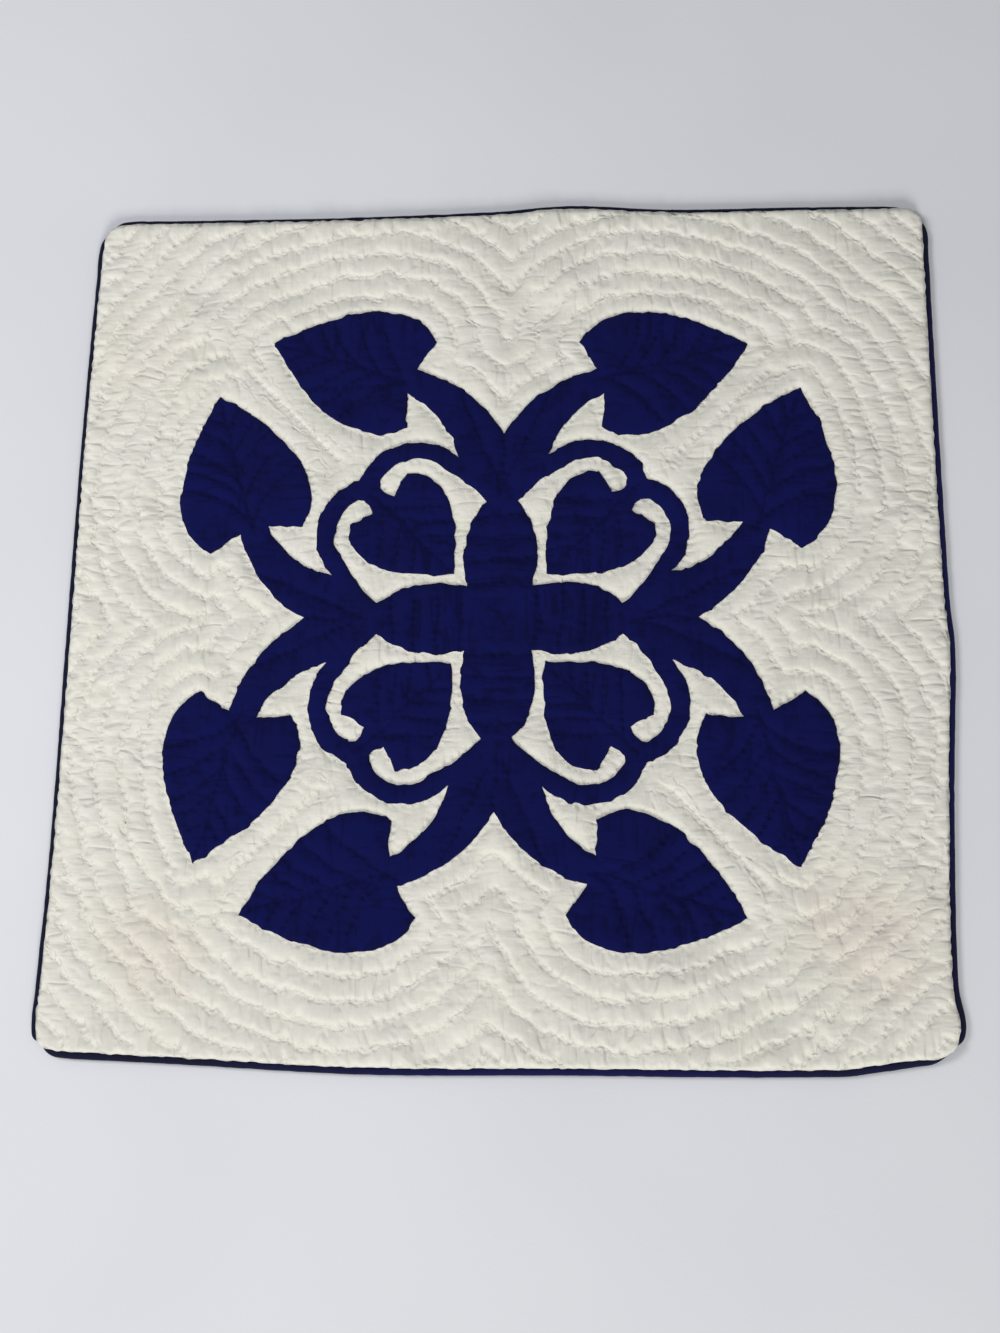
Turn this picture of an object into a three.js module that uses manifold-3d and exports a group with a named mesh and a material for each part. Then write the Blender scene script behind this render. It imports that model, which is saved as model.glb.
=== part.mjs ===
// Applique pillow cover, lying empty and flat on its back. Millimetres, +Z up, +X right, +Y to the far edge.
// A quilted front panel carries a navy leaf medallion cut in one piece. A navy piping is sewn into the seam
// round it, and a plain back panel lies underneath.
import * as THREE from "three";
import { mergeVertices } from "three/addons/utils/BufferGeometryUtils.js";
import Module from "manifold-3d";

// ---------------------------------------------------------------- driving dimensions

const HALF_WIDTH = 228.5;
const HALF_DEPTH = 232;
const GAP = 0.3;

const BACK_THICKNESS = 1;
const PIPING_RADIUS = 2.4;
const PIPING_SIDES = 8;
const PIPING_DRAWN_IN = 3;

const PLATEAU_TOP = 6.6;
const RIDGE_TOP = 7.3;
const CHANNEL_TOP = 5.8;
const PANEL_BOTTOM = BACK_THICKNESS + GAP;
const APPLIQUE_THICKNESS = 0.8;

const ECHO_SPACING = 12.5;
const ECHO_LINES = 11;
const PLATEAU_MARGIN = 4;

// The cover's outer line: how far each side stands out from the nominal rectangle, by hand, as sewn.
const SIDES = [
  {
    name: "right",
    rows: [
      { at: -208, out: 1.2 },
      { at: -180, out: -1.8 },
      { at: -100, out: -0.2 },
      { at: -50, out: 2.2 },
      { at: -20, out: 3.4 },
      { at: 10, out: 1.5 },
      { at: 100, out: -0.5 },
      { at: 215, out: -2.4 },
    ],
  },
  {
    name: "far",
    rows: [
      { at: 212, out: -2.2 },
      { at: 150, out: -1 },
      { at: 90, out: -0.6 },
      { at: 35, out: 3.3 },
      { at: -10, out: 0.8 },
      { at: -100, out: -0.4 },
      { at: -212, out: 0.6 },
    ],
  },
  {
    name: "left",
    rows: [
      { at: 215, out: 0.6 },
      { at: 110, out: 1.5 },
      { at: 0, out: 0.8 },
      { at: -120, out: -0.3 },
      { at: -185, out: 0.8 },
      { at: -214, out: 1.2 },
    ],
  },
  {
    name: "near",
    rows: [
      { at: -212, out: -3.2 },
      { at: -150, out: -1 },
      { at: -60, out: 2.3 },
      { at: 40, out: 1.2 },
      { at: 120, out: 0.8 },
      { at: 178, out: -0.8 },
      { at: 194, out: -4 },
      { at: 208, out: -5.6 },
    ],
  },
];

// Each corner follows the side of the same row above. Bare is the stretch where the panel hides the piping.
const CORNERS = [
  { name: "far right", bare: 11 },
  { name: "far left", bare: 8 },
  { name: "near left", bare: 4 },
  { name: "near right", bare: 8 },
];
const CORNER_FADE = 11;
const CORNER_ROUNDNESS = 0.56;
const SIDE_STEPS = 24;
const CORNER_STEPS = 6;

// The panel's edge, seen in section: how far in from the outer line and how high.
const EDGE_INSET = 4;
const CORNER_EDGE_INSET = 0.2;
const EDGE_BOTTOM = 2 * PIPING_RADIUS + GAP;
const EDGE_THICKNESS = 1;
const SHOULDER = { inset: 5.3, height: 3.4 };
const CROWN = { inset: 4.3, height: 4.8 };
const ROLL_WIDTH = 4.5;

// The first echo line round the motif, for one eighth of it: angle in degrees from an arm.
const FIRST_ECHO = [
  { angle: 0, reach: 114 },
  { angle: 4, reach: 132 },
  { angle: 12, reach: 168 },
  { angle: 17, reach: 183 },
  { angle: 25, reach: 200 },
  { angle: 35, reach: 207 },
  { angle: 40, reach: 209 },
  { angle: 45, reach: 201 },
];
const ECHO_DEGREES = 4.5;
const HALVINGS = 24;

// The motif was sewn a little off the cover's middle.
const MOTIF_MIDDLE = { x: 0.7, y: -2.2 };

// The motif is worked out from these sizes, for one side of one arm. Out runs along the arm from the middle
// and aside runs square to it.
const ARM = { root: 17, shoulder: { out: 46, aside: 24 }, neck: { out: 64, aside: 8 }, fork: 102 };
const STEM = { outerBend: { out: 130, aside: 16 }, innerBend: { out: 113, aside: 30 } };
const OUTER_LEAF = { length: 80, width: 70, stalk: 7.5, out: 132, aside: 50, lean: 16 };
const INNER_LEAF = { length: 55, width: 56, stalk: 7, out: 63 };

// Each loop is a ring about its own middle. Angles are in degrees, from the way out.
const LOOP = { out: 66, aside: 46, radius: 32, width: 10, crotch: -45, openingEnd: 62 };
const LOOP_NECK_BEND = { out: 74, aside: 16 };
const ROUND_END_BEND = { out: 70.5, aside: 66.5 };

// Half a heart-shaped leaf: up as shares of its length, over as shares of its half width.
const LEAF_HALF = {
  hollow: { up: -0.02, over: 0.45 },
  lobe: { up: -0.07, over: 0.72 },
  belly: { up: 0.2, over: 1.42 },
  waist: { up: 0.7, over: 0.72 },
};
const CURVE_STEP = 8;
const LEAST_STEPS = 3;

// The eight outer leaves, each sewn a little unevenly: shifts in millimetres and a turn in degrees, in order
// round the motif. Side is 1 where aside runs counterclockwise from the arm, and -1 where it runs clockwise.
const LEAVES = [
  { arm: "right", side: 1, out: 0.5, aside: -0.5, turn: 1 },
  { arm: "far", side: -1, out: -1, aside: 1, turn: -1.5 },
  { arm: "far", side: 1, out: 1, aside: 0, turn: 1.5 },
  { arm: "left", side: -1, out: -0.5, aside: -1, turn: 0.5 },
  { arm: "left", side: 1, out: 0, aside: 1, turn: -1 },
  { arm: "near", side: -1, out: 1, aside: 0.5, turn: -0.5 },
  { arm: "near", side: 1, out: -1, aside: -1, turn: 1 },
  { arm: "right", side: -1, out: 0, aside: 1, turn: -2 },
];
const ARM_TURN = { right: 0, far: 90, left: 180, near: 270 };

const FINISHES = {
  front_panel: { color: 0xdedbd0, roughness: 0.9 },
  applique: { color: 0x14124c, roughness: 0.82 },
  piping: { color: 0x11103a, roughness: 0.8 },
  back_panel: { color: 0xdad6c8, roughness: 0.92 },
};

const MERGE_DISTANCE = 1e-4;

const wasm = await Module();
wasm.setup();

// ---------------------------------------------------------------- small helpers

function smooth(t) {
  const clamped = THREE.MathUtils.clamp(t, 0, 1);
  return clamped * clamped * (3 - 2 * clamped);
}

// A closed skin over rings of points that all have the same count, from the lowest cap to the highest.
// Each ring runs counterclockwise seen from above, and a cap is a fan from the given middle point.
function skin(rings, lowMiddle, highMiddle) {
  const count = rings[0].length;
  const points = [...rings.flat(), lowMiddle, highMiddle];
  const low = points.length - 2;
  const high = points.length - 1;
  const index = [];
  for (let i = 0; i < count; i++) {
    const next = (i + 1) % count;
    index.push(low, next, i);
    for (let ring = 0; ring + 1 < rings.length; ring++) {
      const below = ring * count;
      const above = below + count;
      index.push(below + i, below + next, above + next, below + i, above + next, above + i);
    }
    const last = (rings.length - 1) * count;
    index.push(high, last + i, last + next);
  }
  return indexed(points, index);
}

function indexed(points, index) {
  const geometry = new THREE.BufferGeometry();
  geometry.setFromPoints(points);
  geometry.setIndex(index);
  return geometry;
}

function solid(geometry) {
  const bare = geometry.clone();
  bare.deleteAttribute("normal");
  bare.deleteAttribute("uv");
  const merged = mergeVertices(bare, MERGE_DISTANCE);
  return new wasm.Manifold(
    new wasm.Mesh({
      numProp: 3,
      vertProperties: merged.attributes.position.array,
      triVerts: new Uint32Array(merged.index.array),
    }),
  );
}

function geometryOf(manifold) {
  const mesh = manifold.getMesh();
  const geometry = new THREE.BufferGeometry();
  geometry.setAttribute("position", new THREE.BufferAttribute(mesh.vertProperties, 3));
  geometry.setIndex(new THREE.BufferAttribute(mesh.triVerts, 1));
  return geometry;
}

// ---------------------------------------------------------------- the cover's outer line

// A side's rows as points on the cover's plane.
function sideCurve({ name, rows }) {
  const place = {
    right: ({ at, out }) => new THREE.Vector2(HALF_WIDTH + out, at),
    far: ({ at, out }) => new THREE.Vector2(at, HALF_DEPTH + out),
    left: ({ at, out }) => new THREE.Vector2(-HALF_WIDTH - out, at),
    near: ({ at, out }) => new THREE.Vector2(at, -HALF_DEPTH - out),
  };
  return new THREE.SplineCurve(rows.map(place[name]));
}

// The rounded corner between the end of one side and the start of the next.
function cornerCurve(before, after) {
  const start = before.getPoint(1);
  const end = after.getPoint(0);
  const upright = Math.abs(before.getTangent(1).y) > Math.abs(before.getTangent(1).x);
  const square = upright ? new THREE.Vector2(start.x, end.y) : new THREE.Vector2(end.x, start.y);
  return new THREE.CubicBezierCurve(
    start,
    start.clone().lerp(square, CORNER_ROUNDNESS),
    end.clone().lerp(square, CORNER_ROUNDNESS),
    end,
  );
}

// Stations round the outer line, counterclockwise: place, outward normal and how far into a corner they are.
function outerLine() {
  const sides = SIDES.map(sideCurve);
  const points = [];
  const corners = [];
  sides.forEach((side, i) => {
    const corner = cornerCurve(side, sides[(i + 1) % sides.length]);
    points.push(...side.getSpacedPoints(SIDE_STEPS).slice(0, -1));
    points.push(...corner.getSpacedPoints(CORNER_STEPS).slice(0, -1));
    corners.push({ middle: corner.getPointAt(0.5), bare: CORNERS[i].bare });
  });
  return points.map((point, i) => {
    const before = points[(i + points.length - 1) % points.length];
    const after = points[(i + 1) % points.length];
    const along = after.clone().sub(before).normalize();
    const cornering = Math.max(...corners.map((corner) => {
      const past = point.distanceTo(corner.middle) - corner.bare / 2;
      return 1 - smooth(past / CORNER_FADE);
    }));
    return { point, outward: new THREE.Vector2(along.y, -along.x), cornering };
  });
}

// A ring at one height, a distance in from the outer line; inset and height may differ in the corners.
function insetRing(line, inset, height) {
  return line.map(({ point, outward, cornering }) => {
    const place = point.clone().addScaledVector(outward, -inset(cornering));
    return new THREE.Vector3(place.x, place.y, height(cornering));
  });
}

// ---------------------------------------------------------------- front panel

// The first echo line as a closed polygon about the middle.
function firstEcho() {
  const reachAt = (angle) => {
    const row = FIRST_ECHO.findIndex((entry) => entry.angle >= angle);
    if (row <= 0) return FIRST_ECHO[0].reach;
    const [low, high] = [FIRST_ECHO[row - 1], FIRST_ECHO[row]];
    return THREE.MathUtils.mapLinear(angle, low.angle, high.angle, low.reach, high.reach);
  };
  const points = [];
  for (let degrees = 0; degrees < 360; degrees += ECHO_DEGREES) {
    const fromArm = degrees % 90;
    const reach = reachAt(Math.min(fromArm, 90 - fromArm));
    const angle = THREE.MathUtils.degToRad(degrees);
    points.push(new THREE.Vector2(reach * Math.cos(angle), reach * Math.sin(angle)));
  }
  return points;
}

function distanceToLoop(point, loop) {
  const toSegment = (a, b) => {
    const span = b.clone().sub(a);
    const share = THREE.MathUtils.clamp(point.clone().sub(a).dot(span) / span.lengthSq(), 0, 1);
    return point.distanceTo(a.clone().addScaledVector(span, share));
  };
  return Math.min(...loop.map((a, i) => toSegment(a, loop[(i + 1) % loop.length])));
}

// The point on the ray through start where the distance to the loop first reaches the wanted one.
function offsetAlongRay(start, loop, wanted) {
  const ray = start.clone().normalize();
  let near = start.length();
  let far = near + 3 * wanted + 1;
  for (let halving = 0; halving < HALVINGS; halving++) {
    const middle = (near + far) / 2;
    const reached = distanceToLoop(ray.clone().multiplyScalar(middle), loop) >= wanted;
    if (reached) far = middle;
    else near = middle;
  }
  return ray.multiplyScalar(far);
}

// The quilted layers before they are trimmed: a flat middle and echo channels with ridges between them.
function quiltedLayers() {
  const loop = firstEcho();
  const ring = (places, height) => places.map((p) => new THREE.Vector3(p.x, p.y, height));
  const rim = loop.map((p) => p.clone().multiplyScalar(1 - PLATEAU_MARGIN / p.length()));
  const rings = [ring(rim, PLATEAU_TOP), ring(loop, CHANNEL_TOP)];
  for (let half = 1; half <= 2 * ECHO_LINES; half++) {
    const places = loop.map((p) => offsetAlongRay(p, loop, (half * ECHO_SPACING) / 2));
    rings.push(ring(places, half % 2 ? RIDGE_TOP : CHANNEL_TOP));
  }
  const outside = rings.at(-1).map((p) => new THREE.Vector3(p.x, p.y, 0));
  const low = new THREE.Vector3(0, 0, 0);
  const high = new THREE.Vector3(0, 0, PLATEAU_TOP);
  const layers = skin([outside, ...rings.reverse()], low, high);
  return layers.translate(MOTIF_MIDDLE.x, MOTIF_MIDDLE.y, 0);
}

// The shape that the layers are trimmed to: flat below, up over the piping, and rolled down at the edge.
function trimmedShape(line) {
  const mix = THREE.MathUtils.lerp;
  const drawnIn = ({ inset }) => (cornering) => inset + PIPING_DRAWN_IN * cornering;
  const edge = (cornering) => mix(EDGE_INSET, CORNER_EDGE_INSET, cornering);
  const rolled = (cornering) => edge(cornering) + ROLL_WIDTH;
  const level = (height) => () => height;
  const rings = [
    insetRing(line, drawnIn(SHOULDER), level(PANEL_BOTTOM)),
    insetRing(line, drawnIn(SHOULDER), level(SHOULDER.height)),
    insetRing(line, drawnIn(CROWN), level(CROWN.height)),
    insetRing(line, edge, level(EDGE_BOTTOM)),
    insetRing(line, edge, level(EDGE_BOTTOM + EDGE_THICKNESS)),
    insetRing(line, rolled, level(RIDGE_TOP + GAP)),
  ];
  const low = new THREE.Vector3(0, 0, PANEL_BOTTOM);
  const high = new THREE.Vector3(0, 0, RIDGE_TOP + GAP);
  return skin(rings, low, high);
}

function frontPanel(line) {
  return geometryOf(solid(quiltedLayers()).intersect(solid(trimmedShape(line))));
}

// ---------------------------------------------------------------- applique

// A path's points, finer on short tight curves than on long ones.
function pathPoints(path) {
  const points = [path.curves[0].getPoint(0)];
  path.curves.forEach((curve) => {
    const steps = Math.max(LEAST_STEPS, Math.ceil(curve.getLength() / CURVE_STEP));
    points.push(...curve.getPoints(steps).slice(1));
  });
  return points;
}

// Half a heart-shaped leaf from its stalk to its tip, with x up to the tip and y over to the side.
function halfLeaf({ length, width, stalk }) {
  const at = ({ up, over }) => [up * length, (over * width) / 2];
  const path = new THREE.Path();
  path.moveTo(0, stalk);
  path.quadraticCurveTo(...at(LEAF_HALF.hollow), ...at(LEAF_HALF.lobe));
  path.bezierCurveTo(...at(LEAF_HALF.belly), ...at(LEAF_HALF.waist), length, 0);
  return pathPoints(path);
}

// Where a point of an outer leaf lies, out along the arm and aside from it.
function onOuterLeaf(leaf) {
  const lean = THREE.MathUtils.degToRad(OUTER_LEAF.lean + leaf.turn);
  return (up, over) => new THREE.Vector2(
    OUTER_LEAF.out + leaf.out + up * Math.sin(lean) + over * Math.cos(lean),
    OUTER_LEAF.aside + leaf.aside + up * Math.cos(lean) - over * Math.sin(lean),
  );
}

// Where a point of the inner leaf lies: its base is on the diagonal and its tip points at the middle.
function onInnerLeaf(up, over) {
  return new THREE.Vector2(
    INNER_LEAF.out + (over - up) * Math.SQRT1_2,
    INNER_LEAF.out - (over + up) * Math.SQRT1_2,
  );
}

// The angle at which a loop's outer edge reaches the diagonal.
function loopMeeting() {
  const offDiagonal = (LOOP.out - LOOP.aside) * Math.SQRT1_2;
  const along = Math.sqrt(LOOP.radius ** 2 - offDiagonal ** 2);
  return Math.PI / 4 + Math.atan2(offDiagonal, along);
}

// The outer edge of one side of an arm, from the fork to the diagonal.
function wedgeEdge(leaf) {
  const place = onOuterLeaf(leaf);
  const half = halfLeaf(OUTER_LEAF);
  const outer = half.map(({ x, y }) => place(x, y));
  const inner = half.map(({ x, y }) => place(x, -y)).reverse();
  const stem = new THREE.Path();
  stem.moveTo(ARM.fork, 0);
  stem.quadraticCurveTo(STEM.outerBend.out, STEM.outerBend.aside, outer[0].x, outer[0].y);
  const crotch = THREE.MathUtils.degToRad(LOOP.crotch);
  const meet = new THREE.Vector2(
    LOOP.out + LOOP.radius * Math.cos(crotch),
    LOOP.aside + LOOP.radius * Math.sin(crotch),
  );
  const foot = inner[inner.length - 1];
  const back = new THREE.Path();
  back.moveTo(foot.x, foot.y);
  back.quadraticCurveTo(STEM.innerBend.out, STEM.innerBend.aside, meet.x, meet.y);
  back.absarc(LOOP.out, LOOP.aside, LOOP.radius, crotch, loopMeeting(), false);
  const [stemPoints, backPoints] = [stem, back].map(pathPoints);
  return [...stemPoints, ...outer.slice(1), ...inner.slice(1), ...backPoints.slice(1)];
}

// Turns points of one side of an arm to where that side lies on the cover.
function turned(points, { arm, side }) {
  const angle = THREE.MathUtils.degToRad(ARM_TURN[arm]);
  const middle = new THREE.Vector2(0, 0);
  return points.map((p) => new THREE.Vector2(p.x, side * p.y).rotateAround(middle, angle));
}

// The whole outer edge, counterclockwise: each diagonal joins the two sides next to it.
function motifEdge() {
  return LEAVES.flatMap((leaf) => {
    const points = turned(wedgeEdge(leaf), leaf);
    if (leaf.side < 0) points.reverse();
    return points.slice(0, -1);
  });
}

// One opening, about the diagonal counterclockwise from an arm.
function openingEdge(arm) {
  const radius = LOOP.radius - LOOP.width;
  const [start, end] = [LOOP.crotch, LOOP.openingEnd].map(THREE.MathUtils.degToRad);
  const crown = [LOOP.out + radius * Math.cos(start), LOOP.aside + radius * Math.sin(start)];
  const leaf = halfLeaf(INNER_LEAF).map(({ x, y }) => onInnerLeaf(x, y));
  const path = new THREE.Path();
  path.moveTo(ARM.root, ARM.root);
  path.quadraticCurveTo(ARM.shoulder.out, ARM.shoulder.aside, ARM.neck.out, ARM.neck.aside);
  path.quadraticCurveTo(LOOP_NECK_BEND.out, LOOP_NECK_BEND.aside, ...crown);
  path.absarc(LOOP.out, LOOP.aside, radius, start, end, false);
  path.quadraticCurveTo(ROUND_END_BEND.out, ROUND_END_BEND.aside, leaf[0].x, leaf[0].y);
  const half = [...pathPoints(path), ...leaf.slice(1)];
  const mirrored = half.map((p) => new THREE.Vector2(p.y, p.x)).reverse();
  return turned([...half, ...mirrored.slice(1, -1)], { arm, side: 1 });
}

function appliqueSheet() {
  const shape = new THREE.Shape(motifEdge());
  shape.holes = Object.keys(ARM_TURN).map((arm) => new THREE.Path(openingEdge(arm)));
  const geometry = new THREE.ExtrudeGeometry(shape, { depth: APPLIQUE_THICKNESS, bevelEnabled: false });
  return geometry.translate(MOTIF_MIDDLE.x, MOTIF_MIDDLE.y, PLATEAU_TOP + GAP);
}

// ---------------------------------------------------------------- piping and back panel

// The piping's middle line, drawn in under the panel at each corner.
function pipingLoop(line) {
  const inset = (cornering) => PIPING_RADIUS + PIPING_DRAWN_IN * cornering;
  return insetRing(line, inset, () => PIPING_RADIUS);
}

// A closed tube round the loop, lying on one of its flats.
function pipingTube(line) {
  const loop = pipingLoop(line);
  const toCorner = PIPING_RADIUS / Math.cos(Math.PI / PIPING_SIDES);
  const points = [];
  const index = [];
  loop.forEach((centre, i) => {
    const { outward } = line[i];
    for (let side = 0; side < PIPING_SIDES; side++) {
      const angle = ((2 * side + 1) * Math.PI) / PIPING_SIDES;
      const reach = toCorner * Math.cos(angle);
      const rise = toCorner * Math.sin(angle);
      points.push(centre.clone().add(new THREE.Vector3(outward.x * reach, outward.y * reach, rise)));
      const here = i * PIPING_SIDES;
      const ahead = ((i + 1) % loop.length) * PIPING_SIDES;
      const turn = (side + 1) % PIPING_SIDES;
      index.push(here + side, ahead + side, ahead + turn);
      index.push(here + side, ahead + turn, here + turn);
    }
  });
  return indexed(points, index);
}

function backPanel(line) {
  const inset = (cornering) => 2 * PIPING_RADIUS + GAP + (PIPING_DRAWN_IN + GAP) * cornering;
  const rings = [insetRing(line, inset, () => 0), insetRing(line, inset, () => BACK_THICKNESS)];
  return skin(rings, new THREE.Vector3(0, 0, 0), new THREE.Vector3(0, 0, BACK_THICKNESS));
}

// ---------------------------------------------------------------- the cover

function piece(name, geometry) {
  const material = new THREE.MeshStandardMaterial({ ...FINISHES[name], metalness: 0 });
  const mesh = new THREE.Mesh(geometry, material);
  mesh.name = name;
  return mesh;
}

function cover() {
  const line = outerLine();
  const group = new THREE.Group();
  group.add(
    piece("front_panel", frontPanel(line)),
    piece("applique", appliqueSheet()),
    piece("piping", pipingTube(line)),
    piece("back_panel", backPanel(line)),
  );
  const middle = new THREE.Box3().setFromObject(group).getCenter(new THREE.Vector3());
  group.position.set(-middle.x, -middle.y, 0);
  return group;
}

export default cover();
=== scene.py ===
"""Applique pillow cover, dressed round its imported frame.

The cover lies empty and flat on its back: a quilted cream front, a navy leaf medallion sewn on
it, a piping in its seam, a plain back, and the hand stitches that hold the layers. The front is
one sheet. Rows of stitches pin it down, the cloth between them has a little more length than
room, and QuiltedCloth relaxes it until it puckers. The motif lies on the same relaxed cloth.
"""

import logging
import math
from collections.abc import Callable, Iterable, Sequence
from dataclasses import dataclass, field
from enum import Enum, IntEnum

import bpy
import numpy as np
from mathutils import Matrix, Vector, kdtree
from mathutils.geometry import delaunay_2d_cdt


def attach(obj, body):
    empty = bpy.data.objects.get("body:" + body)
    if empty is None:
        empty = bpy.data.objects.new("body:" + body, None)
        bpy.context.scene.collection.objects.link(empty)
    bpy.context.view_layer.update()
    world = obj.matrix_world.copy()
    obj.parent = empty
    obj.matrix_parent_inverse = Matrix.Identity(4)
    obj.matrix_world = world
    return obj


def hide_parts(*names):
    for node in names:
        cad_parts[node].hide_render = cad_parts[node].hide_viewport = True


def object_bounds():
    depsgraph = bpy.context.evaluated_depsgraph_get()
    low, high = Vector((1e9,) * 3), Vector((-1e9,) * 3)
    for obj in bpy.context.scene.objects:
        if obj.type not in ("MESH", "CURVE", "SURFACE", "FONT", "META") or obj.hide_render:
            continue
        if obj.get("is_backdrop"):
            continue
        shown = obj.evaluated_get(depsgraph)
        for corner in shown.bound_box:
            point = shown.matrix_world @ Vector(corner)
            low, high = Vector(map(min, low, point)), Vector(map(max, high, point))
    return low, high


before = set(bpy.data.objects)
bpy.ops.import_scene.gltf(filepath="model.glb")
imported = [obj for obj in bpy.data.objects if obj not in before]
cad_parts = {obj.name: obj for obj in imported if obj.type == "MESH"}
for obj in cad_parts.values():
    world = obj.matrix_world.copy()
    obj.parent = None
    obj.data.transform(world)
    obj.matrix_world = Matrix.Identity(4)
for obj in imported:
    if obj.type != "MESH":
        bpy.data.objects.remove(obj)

CAD_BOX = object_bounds()
MM = 0.001
STITCH_PITCH = 4.6 * MM
WELD = 2e-6
TINY = 1e-9
EIGHTH = 45.0
BODY = "root"

log = logging.getLogger("cover")


class Seed(IntEnum):
    """Picks each random pattern of the cover, so that every run gives the same one."""

    JAG_UP = 1
    DRIFT = 2
    SPARE_ALONG = 3
    SPARE_ACROSS = 4
    JAG_ACROSS = 5
    HAND = 7
    SEAM = 11
    PIPING = 21
    BACK = 31
    SHAKE_X = 41
    SHAKE_Y = 43
    LUMPS = 51
    GATHER_X = 61
    GATHER_Y = 62


# ------------ lines and loops in the plane


def smooth_step(share: np.ndarray) -> np.ndarray:
    """Ease a share from 0 to 1, level at both ends."""
    clamped = np.clip(share, 0.0, 1.0)
    return clamped * clamped * (3.0 - 2.0 * clamped)


def neighbours(values: np.ndarray) -> np.ndarray:
    """The mean of the four neighbours of each inner point of a grid."""
    return (values[:-2, 1:-1] + values[2:, 1:-1] + values[1:-1, :-2] + values[1:-1, 2:]) / 4


def loop_area(loop: np.ndarray) -> float:
    """Area inside a closed loop, positive where it runs counterclockwise."""
    x, y = loop[:, 0], loop[:, 1]
    return 0.5 * float(np.sum(x * np.roll(y, -1) - np.roll(x, -1) * y))


def steps_for(loop: np.ndarray, spacing: float) -> np.ndarray:
    """Count the steps that each side of a loop is split into.

    Args:
        loop: The loop's corners, one row each.
        spacing: The wanted distance between points, in metres.

    Returns:
        One whole number for each side, at least 1.
    """
    lengths = np.linalg.norm(np.roll(loop, -1, 0) - loop, axis=1)
    return np.maximum(1, np.round(lengths / spacing)).astype(int)


def smoothed(loop: np.ndarray, steps: np.ndarray, sharpest: float = 32.0) -> np.ndarray:
    """Run a smooth line through a loop's corners, and leave its sharp ones sharp.

    Args:
        loop: The loop's corners, one row each, in two or three dimensions.
        steps: How many points each side gets.
        sharpest: The turn in degrees above which a corner stays sharp.

    Returns:
        The finer loop's points.
    """
    sides = np.roll(loop, -1, 0) - loop
    lengths = np.linalg.norm(sides, axis=1)
    heading = np.arctan2(sides[:, 1], sides[:, 0])
    turn = (heading - np.roll(heading, 1) + np.pi) % (2 * np.pi) - np.pi
    sharp = np.abs(turn) > math.radians(sharpest)
    along = sides / lengths[:, None]
    before = np.roll(lengths, 1)
    blend = (np.roll(along, 1, 0) * lengths[:, None] + along * before[:, None]) / (lengths + before)[:, None]
    leaving = np.where(sharp[:, None], along, blend)
    arriving = np.roll(np.where(sharp[:, None], np.roll(along, 1, 0), blend), -1, 0)
    side = np.repeat(np.arange(len(loop)), steps)
    first = np.repeat(np.cumsum(steps) - steps, steps)
    t = ((np.arange(len(side)) - first) / steps[side])[:, None]
    start, end = loop[side], np.roll(loop, -1, 0)[side]
    reach = lengths[side][:, None]
    return (
        (2 * t**3 - 3 * t**2 + 1) * start
        + (t**3 - 2 * t**2 + t) * reach * leaving[side]
        + (3 * t**2 - 2 * t**3) * end
        + (t**3 - t**2) * reach * arriving[side]
    )


def outward(loop: np.ndarray) -> np.ndarray:
    """Unit vectors square to a loop, on the right of its way round: off the cloth that it bounds."""
    along = np.roll(loop, -1, 0)[:, :2] - np.roll(loop, 1, 0)[:, :2]
    along /= np.linalg.norm(along, axis=1)[:, None]
    return np.stack([along[:, 1], -along[:, 0]], 1)


def spaced(line: np.ndarray, step: float, offset: float) -> np.ndarray:
    """Walk an open line in equal steps.

    Args:
        line: The line's points.
        step: The length of a step, in metres.
        offset: Where on the line the first point lies.

    Returns:
        The points of the walk.
    """
    lengths = np.linalg.norm(np.diff(line, axis=0), axis=1)
    run = np.concatenate([[0.0], np.cumsum(lengths)])
    stops = np.arange(offset, run[-1], step)
    return np.stack([np.interp(stops, run, line[:, 0]), np.interp(stops, run, line[:, 1])], 1)


def encloses(loops: Sequence[np.ndarray], points: np.ndarray) -> np.ndarray:
    """Tell which points lie inside the loops, where a loop inside another is a hole.

    Args:
        loops: Closed loops.
        points: The points to try, one row each.

    Returns:
        A flag for each point.
    """
    odd = np.zeros(len(points), bool)
    x, y = points[:, :1], points[:, 1:2]
    for loop in loops:
        ahead = np.roll(loop, -1, 0)
        rise = ahead[:, 1] - loop[:, 1]
        crossed = (loop[:, 1] <= y) != (ahead[:, 1] <= y)
        share = (y - loop[:, 1]) / np.where(rise == 0.0, 1.0, rise)
        hits = crossed & (x < loop[:, 0] + share * (ahead[:, 0] - loop[:, 0]))
        odd ^= (hits.sum(1) % 2).astype(bool)
    return odd


def filled(loops: Sequence[np.ndarray], inner: np.ndarray) -> np.ndarray:
    """Fill loops with triangles through given inner points.

    Args:
        loops: The outer loop and any holes.
        inner: Points well inside them.

    Returns:
        Triangles as indices into the loops' points followed by the inner points, facing up.
    """
    rim = np.vstack(loops)
    edges: list[tuple[int, int]] = []
    start = 0
    for loop in loops:
        count = len(loop)
        edges += [(start + i, start + (i + 1) % count) for i in range(count)]
        start += count
    points = np.vstack([rim, inner])
    made = delaunay_2d_cdt([tuple(p) for p in points.tolist()], edges, [], 0, 1e-9)
    source = np.array([origin[0] for origin in made[3]])
    triangles = source[np.array(made[2])]
    on_rim = (triangles < len(rim)).all(1)
    middles = points[triangles[on_rim]].mean(1)
    kept = ~on_rim
    kept[np.flatnonzero(on_rim)[encloses(loops, middles)]] = True
    triangles = triangles[kept]
    a, b, c = (points[triangles[:, i]] for i in range(3))
    turn = (b[:, 0] - a[:, 0]) * (c[:, 1] - a[:, 1]) - (b[:, 1] - a[:, 1]) * (c[:, 0] - a[:, 0])
    triangles[turn < 0] = triangles[turn < 0][:, ::-1]
    return triangles


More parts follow.
